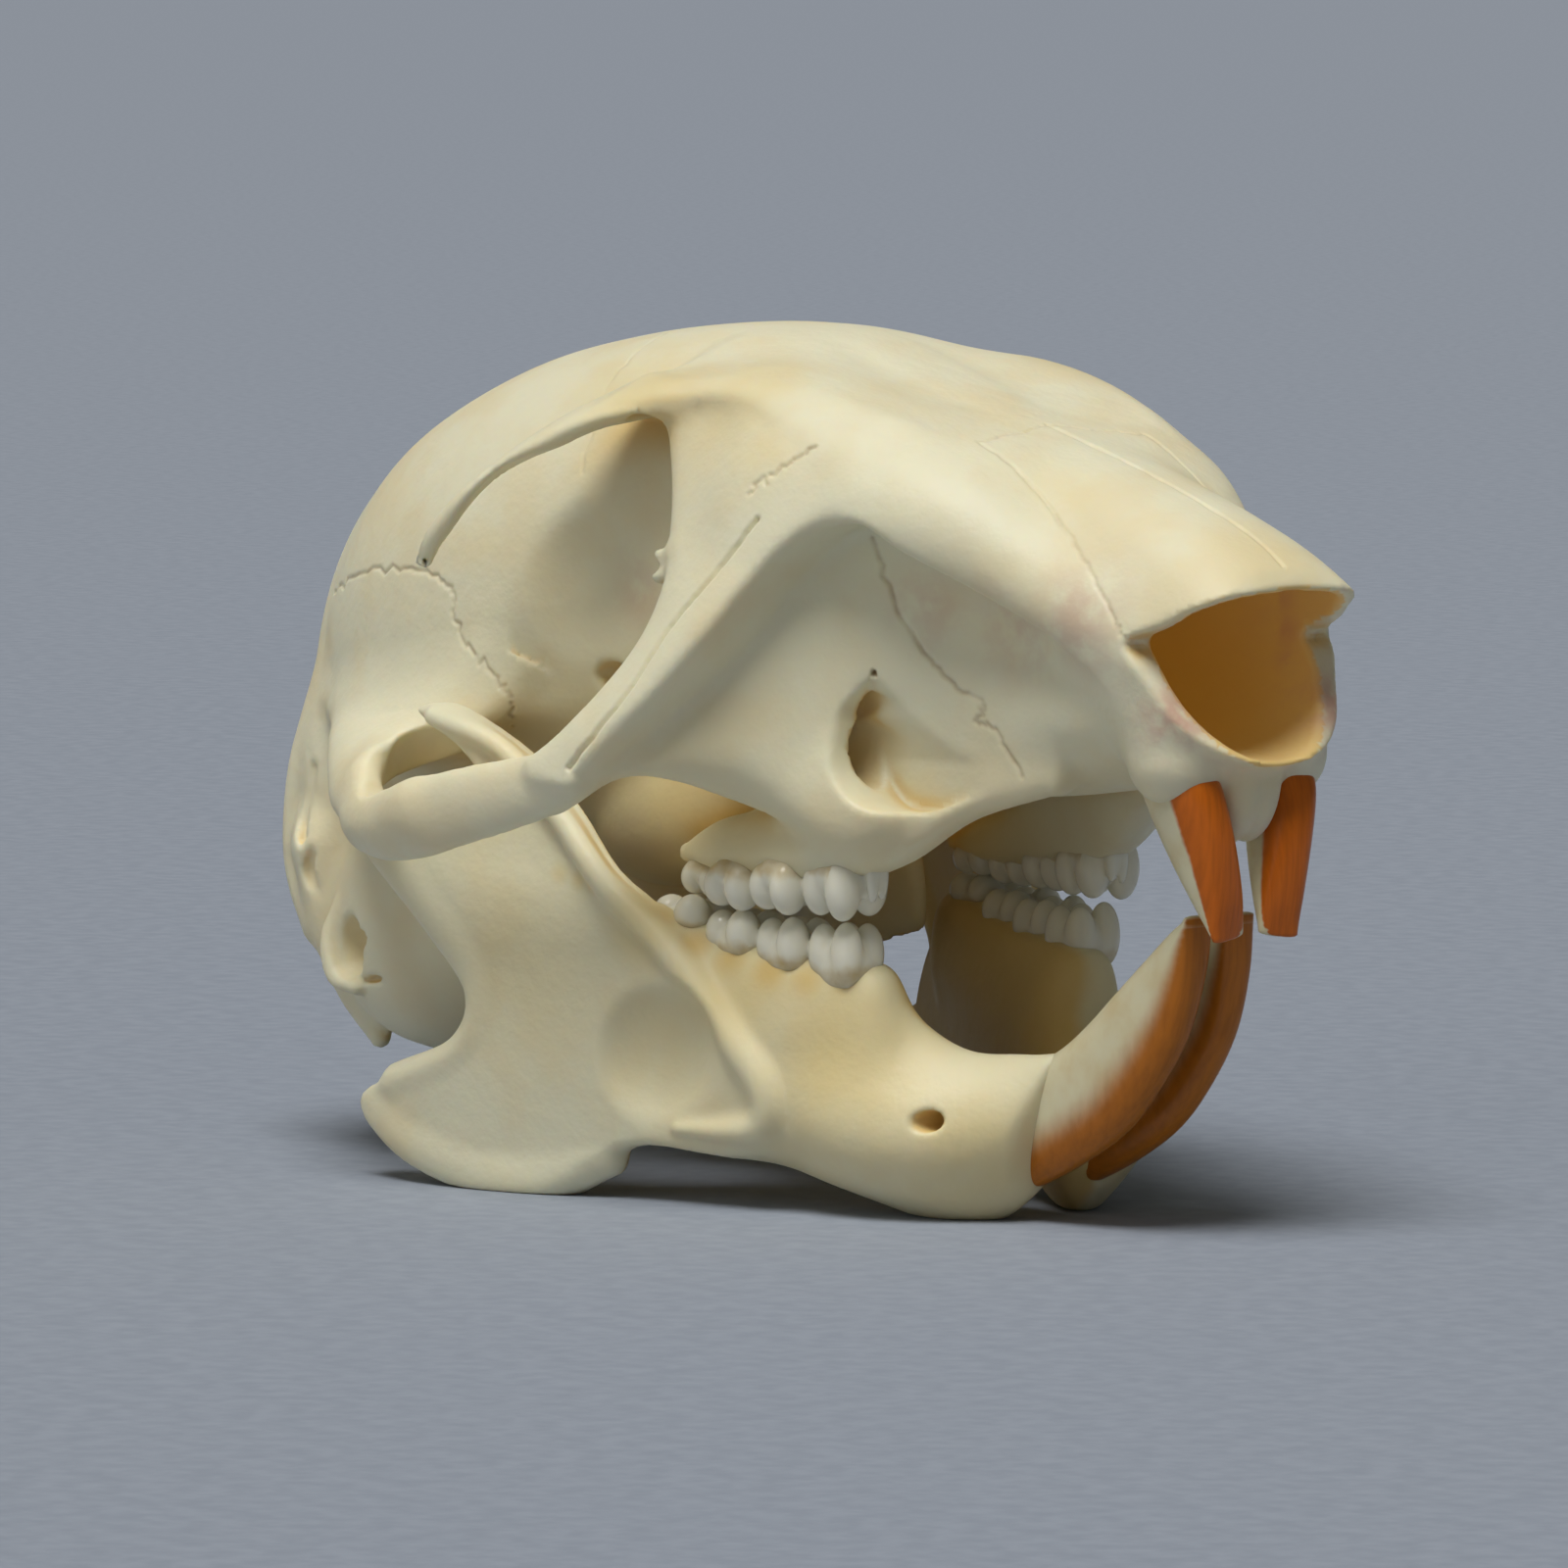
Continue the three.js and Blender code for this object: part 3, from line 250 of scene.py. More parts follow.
def outward(points, faces):
    """The way out of the surface at each of its points."""
    a, b, c, d = (points[faces[:, k]] for k in range(4))
    face_way = np.cross(c - a, d - b)
    way = np.stack([sum(np.bincount(faces[:, k], n, len(points)) for k in range(4)) for n in face_way.T], 1)
    return way / np.maximum(np.linalg.norm(way, axis=1), 1e-9)[:, None]


def piece(name, points, faces):
    """A smooth mesh in the frame, from millimetres."""
    mesh = bpy.data.meshes.new(name)
    mesh.from_pydata(((points - (MID_LENGTH, 0, 0)) / 1000).tolist(), [], faces.tolist())
    mesh.shade_smooth()
    made = bpy.data.objects.new(name, mesh)
    bpy.context.collection.objects.link(made)
    return made


def mirrored(points, faces):
    return points * (1, -1, 1), faces[:, ::-1]


def easing(t):
    """Near 0 below zero and near t above it, with a soft bend between."""
    return (t + np.sqrt(t * t + 4)) / 2


def rampart(x, z):
    """How far the ramus stands out from the midline."""
    return 12.6 - 0.36 * easing(x - 17) + 0.03 * (z - 8) - 0.12 * easing(4 - z) - 0.15 * easing(z - 11)


def on_ramus(places, out):
    return [(x, rampart(x, z) + out, z) for x, z in places]


jaw = (
    Bone()
    .add(blade(
        [(41.6, 1.6, 6.5), (39.9, 2.1, 6.3), (37.8, 3.0, 6.3), (36.0, 4.1, 7.5), (34.7, 5.0, 9.2),
         (30.8, 6.2, 9.8), (26.5, 7.4, 10.6), (22.6, 8.8, 9.4)],
        [(40.1, 1.5, 1.2), (38.5, 1.9, 0.0), (37.0, 2.9, -0.3), (35.4, 3.7, 0.1), (33.6, 4.6, 0.8),
         (30.4, 5.8, 1.6), (26.4, 7.2, 2.4), (21.8, 8.2, 3.0)],
        [2.2, 3.0, 3.5, 3.8, 4.0, 4.0, 3.0, 1.6]), 0)
    .add(blade([(34.9, 5.3, 9.3), (32, 6.0, 9.6), (29.2, 6.6, 10.1), (26.2, 7.2, 10.9)],
               [(34.6, 5.1, 6.0), (32, 5.7, 6.0), (29.2, 6.4, 6.4), (26.2, 7.1, 7.0)],
               [1.7, 2.6, 3.1, 3.0], 3), 1.4)
    .add(rib([(39, 2.6, 3.6), (36.5, 4.5, 3.2), (34.2, 5.4, 3.5), (32.6, 5.7, 4.0)], [1.3, 1.8, 1.7, 1.2]), 2)
    .add(plate(
        [(31.9, 4.1), (27.4, 10.4), (24.7, 12.6), (22.9, 14.8), (20.7, 16.8), (17.6, 18.4), (16.0, 18.5),
         (15.7, 18.1), (17.5, 17.2), (18.9, 15.9), (18.4, 14.7), (16.8, 14.3), (14.5, 14.6), (12.5, 14.3),
         (11.9, 13.6), (13.0, 12.7), (16.9, 10.0), (18.8, 7.6), (18.4, 5.7), (15.8, 4.5), (12.8, 3.3),
         (13.2, 2.0), (15.3, 0.8), (19.1, -0.2), (20.9, -0.2), (22.4, 0.4), (24.0, 1.4), (26.0, 2.2),
         (30.1, 2.1)], rampart, 1.1), 1.2)
    .add(rib(on_ramus(
        [(16.8, 18.1), (20.1, 17.0), (22.9, 14.5), (25.1, 12.0), (27.6, 9.9), (29.9, 7.0), (31.6, 4.8),
         (31.4, 3.4), (29.8, 3.0), (27.8, 3.0)], 0.7),
        [0.3, 0.4, 0.45, 0.5, 0.55, 0.6, 0.7, 0.6, 0.4, 0.15]), 0.5)
    .add(rib(on_ramus([(13.8, 13.5), (17.5, 10.1), (19.1, 7.8), (18.0, 5.4), (14.6, 4.0)], -0.1),
             [0.8, 0.7, 0.55, 0.55, 0.6]), 0.6)
    .add(rib(on_ramus([(13.5, 2.6), (15.6, 1.5), (19, 0.5), (21.4, 0.6), (24, 1.4)], -0.3),
             [0.7, 0.9, 0.9, 0.9, 0.6]), 0.7)
    .add(egg((13.0, 11.8, 13.8), (1.6, 1.0, 0.75), -12, 4), 0.6)
    .cut(egg((28.0, 10.8, 5.6), (3.4, 2.4, 3.6), 48), 0.3)
    .cut(egg((38.2, 5.1, 3.9), (0.5, 1.7, 0.4)), 0.2)
    .keep(ground((41.6, 0, 6.5), (0.96, 0, -0.28)), 0.3)
    .keep(ground((0, 0.15, 0), (0, -1, 0)), 0.1)
    .keep(ground((0, 0, 0), (0, 0, -1)), 0.15)
)


class Look:
    """A value that changes over a surface: one socket in a material's nodes. Sums on it add Math nodes."""

    def __init__(self, tree, socket):
        self.tree, self.socket = tree, socket

    def node(self, kind, settings=(), sockets=(), out=0):
        """Adds a node: its type, its settings, then the values or links of its sockets."""
        made = self.tree.nodes.new("ShaderNode" + kind)
        for name, value in dict(settings).items():
            setattr(made, name, value)
        for name, value in dict(sockets).items():
            if isinstance(value, Look):
                self.tree.links.new(value.socket, made.inputs[name])
            else:
                made.inputs[name].default_value = value
        return Look(self.tree, made.outputs[out])

    def math(self, operation, *values):
        return self.node("Math", {"operation": operation}, dict(enumerate(values)))

    def __add__(self, other):
        return self.math("ADD", self, other)

    def __sub__(self, other):
        return self.math("SUBTRACT", self, other)

    def __rsub__(self, other):
        return self.math("SUBTRACT", other, self)

    def __mul__(self, other):
        return self.math("MULTIPLY", self, other)

    def __truediv__(self, other):
        return self.math("DIVIDE", self, other)

    def __pow__(self, other):
        return self.math("POWER", self, other)

    __radd__, __rmul__ = __add__, __mul__

    def ramp(self, low, high):
        """Goes smoothly from 0 at low to 1 at high."""
        ends = {"Value": self, "From Min": low, "From Max": high}
        return self.node("MapRange", {"interpolation_type": "SMOOTHSTEP"}, ends)

    def tint(self, under, over):
        """The colour under it, turned to the colour over it where this value is 1."""
        under, over = (c if isinstance(c, Look) else (*c, 1) for c in (under, over))
        return self.node("Mix", {"data_type": "RGBA"}, {0: self, 6: under, 7: over}, 2)


def material(name, **fixed):
    """A new material: its shader with the values that are the same all over, and a start for its nodes."""
    made = bpy.data.materials.new(name)
    made.use_nodes = True
    shader = made.node_tree.nodes["Principled BSDF"]
    for socket, value in fixed.items():
        shader.inputs[socket.replace("_", " ")].default_value = value
    place = Look(made.node_tree, None).node("TexCoord", out=3)
    return made, shader, place


def link(look, shader, socket):
    look.tree.links.new(look.socket, shader.inputs[socket])


def keep_per_point(mesh, name, values):
    """Keeps a number for each point of a mesh, which its material reads by name."""
    mesh.attributes.new(name, "FLOAT", "POINT").data.foreach_set("value", values.astype(np.float32))


def surface(made):
    """A mesh's points in millimetres, and the way out of it at each."""
    points, way = np.empty((2, len(made.data.vertices) * 3), np.float32)
    made.data.vertices.foreach_get("co", points)
    made.data.vertex_normals.foreach_get("vector", way)
    return points.reshape(-1, 3) * 1000 + (MID_LENGTH, 0, 0), way.reshape(-1, 3)


def blotch(points, spots):
    """How strongly some round spots show at each point, real stains and the painted glow of thin walls alike:
    x, y and z of a spot, its radius, its strength.
    """
    p = np.column_stack([points[:, 0], np.abs(points[:, 1]), points[:, 2]])
    return np.max([deep * np.exp(-np.sum((p - place) ** 2, 1) / r**2) for *place, r, deep in spots], 0)


def hollow(bone, points, way):
    """How far each point lies in a hollow, from 0 in the open to 1 in a narrow gap, which sets how much
    painted shade the bone gets there.
    """
    painted_shade = [1 - np.clip(bone.at(points + far * way) / far, 0, 1) for far in (0.7, 2.0)]
    return (painted_shade[0] + painted_shade[1]) / 2


bone_look, bone_shader, where = material("bone", Subsurface_Weight=0.25, Subsurface_Radius=(0.9, 0.6, 0.3),
                                         Subsurface_Scale=0.001, Specular_IOR_Level=0.45,
                                         Emission_Strength=1.0)
# The third colour is the warm tint of painted shade in hollows, and also of real brown stains at the jaw's
# gum.
IVORY, CREAM, SHADE_AND_GUM_OCHRE = (0.84, 0.80, 0.58), (0.82, 0.73, 0.48), (0.74, 0.52, 0.18)
GOLD, ROSE, UMBER = (0.78, 0.62, 0.27), (0.62, 0.36, 0.27), (0.34, 0.22, 0.09)
cloud = where.node("TexNoise", {}, {"Vector": where, "Scale": 220.0, "Detail": 4.0})
fleck = where.node("TexNoise", {}, {"Vector": where, "Scale": 900.0, "Detail": 3.0})
grain = where.node("TexNoise", {}, {"Vector": where, "Scale": 3200.0, "Detail": 4.0})
# Of these values, the first holds painted shade (with real gum stains on the jaw) and the last a painted
# glow; the others are real stains and seams.
painted_shade, gold, rose, seam, painted_glow = (where.node("Attribute", {"attribute_name": name}, out=2)
                                for name in ("hollow", "gold", "rose", "seam", "painted_glow"))
colour = cloud.ramp(0.4, 0.68).tint(IVORY, CREAM)
colour = (gold * (0.55 + 0.6 * cloud)).tint(colour, GOLD)
# Painted shade: the bone turns ochre where it lies in a hollow, inside the nose and on the jaw's tongue side;
# on the jaw the same value also carries real stains at the gum.
colour = (painted_shade.ramp(0.12, 0.85) * 0.85).tint(colour, SHADE_AND_GUM_OCHRE)
colour = (rose * fleck.ramp(0.3, 0.62)).tint(colour, ROSE)
colour = (seam * fleck.ramp(0.25, 0.7)).tint(colour, UMBER)
link(colour, bone_shader, "Base Color")
# Painted glow: a faint warm emission where the bone is thin and inside the nose, standing in for light
# shining through the bone.
link(painted_glow.tint((0, 0, 0), (0.045, 0.021, 0.001)), bone_shader, "Emission Color")
link(0.42 + 0.2 * grain, bone_shader, "Roughness")
link(where.node("Bump", {}, {"Strength": 0.25, "Distance": 0.0002, "Height": 0.25 * grain + fleck + cloud}),
     bone_shader, "Normal")

FLIP = {"left": 1, "right": -1}
JAW_STAINS = [(35, 6.2, 6, 4.2, 0.9), (30.5, 8.0, 8.4, 3.0, 0.9), (39, 3.5, 3, 3.4, 0.7),
              (26.4, 9.6, 10.6, 1.8, 0.9), (23.0, 11.0, 12.4, 0.5, 0.9), (23.8, 10.6, 12.2, 0.45, 0.9),
              (24.4, 10.4, 12.0, 0.4, 0.8), (27.4, 9.8, 5.5, 2.6, 0.5), (22, 11, 9, 4, 0.45)]
GUM_STAINS = [(34.6, 6.6, 8.9, 0.8, 0.5), (33.2, 7.2, 9.0, 0.9, 0.7), (31.6, 7.6, 9.2, 0.9, 0.8),
              (29.8, 8.0, 9.5, 0.9, 0.7), (28.2, 8.4, 9.9, 0.9, 0.8), (26.6, 8.8, 10.5, 1.0, 0.8)]
half_jaw = skin(jaw, (7, -0.4, -0.6), (44, 14, 20), JAW_CELL)
for side, shape in (("left", half_jaw), ("right", mirrored(*half_jaw))):
    made = piece("mandible_" + side + "_bone", *shape)
    points, way = surface(made)
    painted_shade = hollow(jaw, points * (1, FLIP[side], 1), way * (1, FLIP[side], 1))
    # Painted shade: the jaw's faces that turn towards the tongue are tinted ochre as if in shade; the gum
    # stains added beside them are real.
    painted_tongue_side_shade = 0.9 * np.clip(-1.5 * way[:, 1] * FLIP[side], 0, 1)
    keep_per_point(made.data, "hollow", np.max([painted_shade, painted_tongue_side_shade, blotch(points, GUM_STAINS)], 0))
    keep_per_point(made.data, "gold", blotch(points, JAW_STAINS))
    made.data.materials.append(bone_look)
    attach(made, "root")
    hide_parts("mandible_" + side)

# Cheek teeth: low crowns of white enamel with blunt cusps, four in each half of the lower jaw and five in the
# upper, set so close that they touch. They sit in sockets in the bone, stained brown at the gum.
TOOTH_CELL = 0.09
UPPER_TEETH = [(35.7, 5.9, 13.6, 0.9, 1.0, 1.7), (34.4, 6.2, 13.2, 2.6, 2.8, 2.0),
               (32.0, 6.7, 13.0, 2.4, 3.2, 1.7), (29.6, 7.0, 12.8, 2.4, 3.1, 1.5),
               (27.4, 6.7, 12.8, 2.1, 2.5, 1.2)]
LOWER_TEETH = [(34.0, 5.8, 9.2, 2.6, 2.3, 2.0), (31.6, 6.3, 9.5, 2.4, 2.6, 1.75),
               (29.3, 6.8, 9.9, 2.4, 2.8, 1.5), (26.8, 7.3, 10.6, 2.5, 2.8, 1.2)]


def tooth_row(teeth, way):
    """Cheek teeth side by side: x, y, height of the gum, length, width and crown of each."""
    row = Bone()
    for x, y, gum, length, width, crown in teeth:
        middle = np.array((x, y, gum + way * crown * 0.1))
        row.add(egg(middle, (length * 0.47, width * 0.46, crown * 0.66)), 0.1)
        for fore, out, tall in ((0.26, 0.24, 0.62), (-0.24, 0.24, 0.55), (0.22, -0.24, 0.56),
                                (-0.22, -0.24, 0.54)):
            cusp = np.array((x + fore * length, y + out * width, gum + way * 0.36 * crown))
            row.add(egg(cusp, (length * 0.25, width * 0.26, crown * tall)), 0.16)
    return row


enamel_look, enamel_shader, where = material("cheek_enamel", Subsurface_Weight=0.4, Subsurface_Scale=0.0008,
                                             Subsurface_Radius=(0.9, 0.8, 0.6), Roughness=0.25)
crown = where.node("Attribute", {"attribute_name": "crown"}, out=2)
fleck = where.node("TexNoise", {}, {"Vector": where, "Scale": 1100.0, "Detail": 3.0})
colour = (crown + 0.5 * fleck).ramp(0.1, 0.5).tint((0.62, 0.48, 0.24), (0.85, 0.82, 0.68))
link(colour, enamel_shader, "Base Color")
for jaw_name, teeth, way, low, high in (("upper", UPPER_TEETH, -1, (25.5, 3.5, 10.5), (38, 9.5, 15.5)),
                                        ("lower", LOWER_TEETH, 1, (25, 3.5, 6.5), (37, 9.5, 13))):
    row = skin(tooth_row(teeth, way), low, high, TOOTH_CELL)
    for side, shape in (("left", row), ("right", mirrored(*row))):
        made = piece(jaw_name + "_cheek_teeth_" + side, *shape)
        nearest = np.abs(shape[0][:, :1] - [t[0] for t in teeth]).argmin(1)
        gum, tall = np.array(teeth)[nearest][:, [2, 5]].T
        keep_per_point(made.data, "crown", np.clip(way * (shape[0][:, 2] - gum) / tall, 0, 1))
        made.data.materials.append(enamel_look)
        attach(made, "root")

# Incisors: one curved chisel in each half of a jaw. Only the front is enamel, stained orange by iron; the
# rest is bare ivory that wears faster, so the tip stays a sharp slanting edge.
INCISOR_CELL = 0.09
UPPER_FRONT = [(50.3, 2.35, 17.6), (50.7, 2.2, 16.8), (50.9, 1.8, 15.0), (50.8, 1.4, 13.0), (50.5, 1.2, 11.5)]
UPPER_REAR = [(47.5, 2.4, 16.6), (47.9, 2.3, 15.7), (48.5, 1.9, 14.2), (49.4, 1.5, 12.6), (50.2, 1.25, 11.5)]
LOWER_FRONT = [(39.0, 1.45, 0.9), (42.0, 1.4, 2.2), (44.6, 1.3, 3.7), (46.4, 1.25, 5.5), (47.8, 1.15, 7.5),
               (48.5, 1.05, 9.8), (48.6, 1.0, 11.9)]
LOWER_REAR = [(39.4, 1.55, 5.6), (41.6, 1.45, 6.7), (43.1, 1.35, 7.8), (44.5, 1.3, 9.0), (46.0, 1.2, 10.3),
              (47.4, 1.05, 11.5), (48.3, 1.0, 12.0)]
upper_incisor = Bone().add(blade(UPPER_FRONT, UPPER_REAR, [2.1, 2.1, 2.0, 1.9, 1.7], 2.6), 0)
lower_incisor = Bone().add(blade(LOWER_REAR, LOWER_FRONT, [1.6, 1.7, 1.7, 1.65, 1.55, 1.5, 1.4], 2.6), 0)


def enamelled(points, front, rear):
    """Where a point lies between a tooth's rear edge, 0, and its front edge, 1."""
    gaps = [np.linalg.norm(points[:, None, ::2] - curve(edge, 6)[None, :, ::2], axis=2).min(1)
            for edge in (front, rear)]
    return gaps[1] / (gaps[0] + gaps[1])


def incisor_material(name, orange, starts, ends):
    """Ivory behind, orange enamel in front, with the place where the enamel starts and where it is full."""
    made, shader, where = material(name, Roughness=0.3, Specular_IOR_Level=0.3, Subsurface_Weight=0.15,
                                   Subsurface_Scale=0.0006, Subsurface_Radius=(0.9, 0.6, 0.3))
    front = where.node("Attribute", {"attribute_name": "front"}, out=2)
    streak = where.node("Mapping", {}, {"Vector": where, "Scale": (1.0, 3.0, 0.25)})
    streak = where.node("TexNoise", {}, {"Vector": streak, "Scale": 2200.0, "Detail": 3.0})
    stain = where.node("TexNoise", {}, {"Vector": where, "Scale": 700.0, "Detail": 3.0})
    ivory = stain.ramp(0.35, 0.75).tint((0.78, 0.72, 0.49), (0.72, 0.61, 0.36))
    deep = streak.ramp(0.3, 0.8).tint(orange, [0.8 * c for c in orange])
    link((front + 0.06 * streak).ramp(starts, ends).tint(ivory, deep), shader, "Base Color")
    link(where.node("Bump", {}, {"Strength": 0.1, "Distance": 0.0001, "Height": streak}), shader, "Normal")
    return made


INCISOR_LOOKS = {"upper": incisor_material("upper_incisor", (0.64, 0.15, 0.008), 0.6, 0.68),
                 "lower": incisor_material("lower_incisor", (0.50, 0.16, 0.012), 0.5, 0.85)}
for jaw_name, tooth, edges, low, high in (
        ("upper", upper_incisor, (UPPER_FRONT, UPPER_REAR), (46, 0.1, 10.5), (52.5, 5, 20)),
        ("lower", lower_incisor, (LOWER_FRONT, LOWER_REAR), (37, 0.1, 0.5), (50, 3.6, 13.5))):
    shape = skin(tooth, low, high, INCISOR_CELL)
    for side, half in (("left", shape), ("right", mirrored(*shape))):
        made = piece(jaw_name + "_incisor_" + side + "_tooth", *half)
        keep_per_point(made.data, "front", enamelled(shape[0], *edges))
        made.data.materials.append(INCISOR_LOOKS[jaw_name])
        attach(made, "root")
        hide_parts(jaw_name + "_incisor_" + side)

# Cranium: braincase, face and snout grown together, with the cheekbones standing off the sides like handles
# and the round ear capsules below. One thin-walled bone case; the sutures still show as fine lines.
CRANIUM_CELL = 0.2
CROWN, BRAINCASE_HALF, SNOUT_HALF, ARCH_HALF, NOSE_TIP = 33.1, 9.9, 4.5, 14.6, 52.7


def hull(stations, steps=8):
    """Sections across x: x, half width, top, bottom, height of the widest point and squareness."""
    table = curve(stations, steps)
    first, last = table[0, 0], table[-1, 0]

    def level(x, y, z):
        half, top, bottom, belly, square = (np.interp(x, table[:, 0], c) for c in table[:, 1:].T)
        reach = np.where(z > belly, top - belly, belly - bottom)
        return ((np.abs(y) / half) ** square + (np.abs(z - belly) / reach) ** square) ** (1 / square)

    def at(x, y, z):
        step = 0.05
        here = level(x, y, z)
        steep = np.sqrt(sum((level(x + step * a, np.abs(y) + step * b, z + step * c) - here) ** 2
                            for a, b, c in np.eye(3))) / step
        return (here - 1) / np.maximum(steep, 0.02)

    half = table[:, 1].max()
    return np.array((first, -half, table[:, 3].min())), np.array((last, half, table[:, 2].max())), at


def recess(x, z):
    """How far out the floor of the hollow on the side of the snout lies, where the chewing muscle began."""
    back = 39.5 - x
    rise = np.maximum(z - 23.0 + 0.54 * (x - 40), 0)
    return 4.0 + 0.4 * (back + np.sqrt(back * back + 10)) + 0.06 * (20 - z) + 0.2 * rise**2


def slit(x, z):
    """How far out the snout's wall lies inside the canal behind that hollow's free lower edge."""
    return 5.0 + 0.1 * (39.5 - x) + 0.45 * np.maximum(z - 17.4, 0)


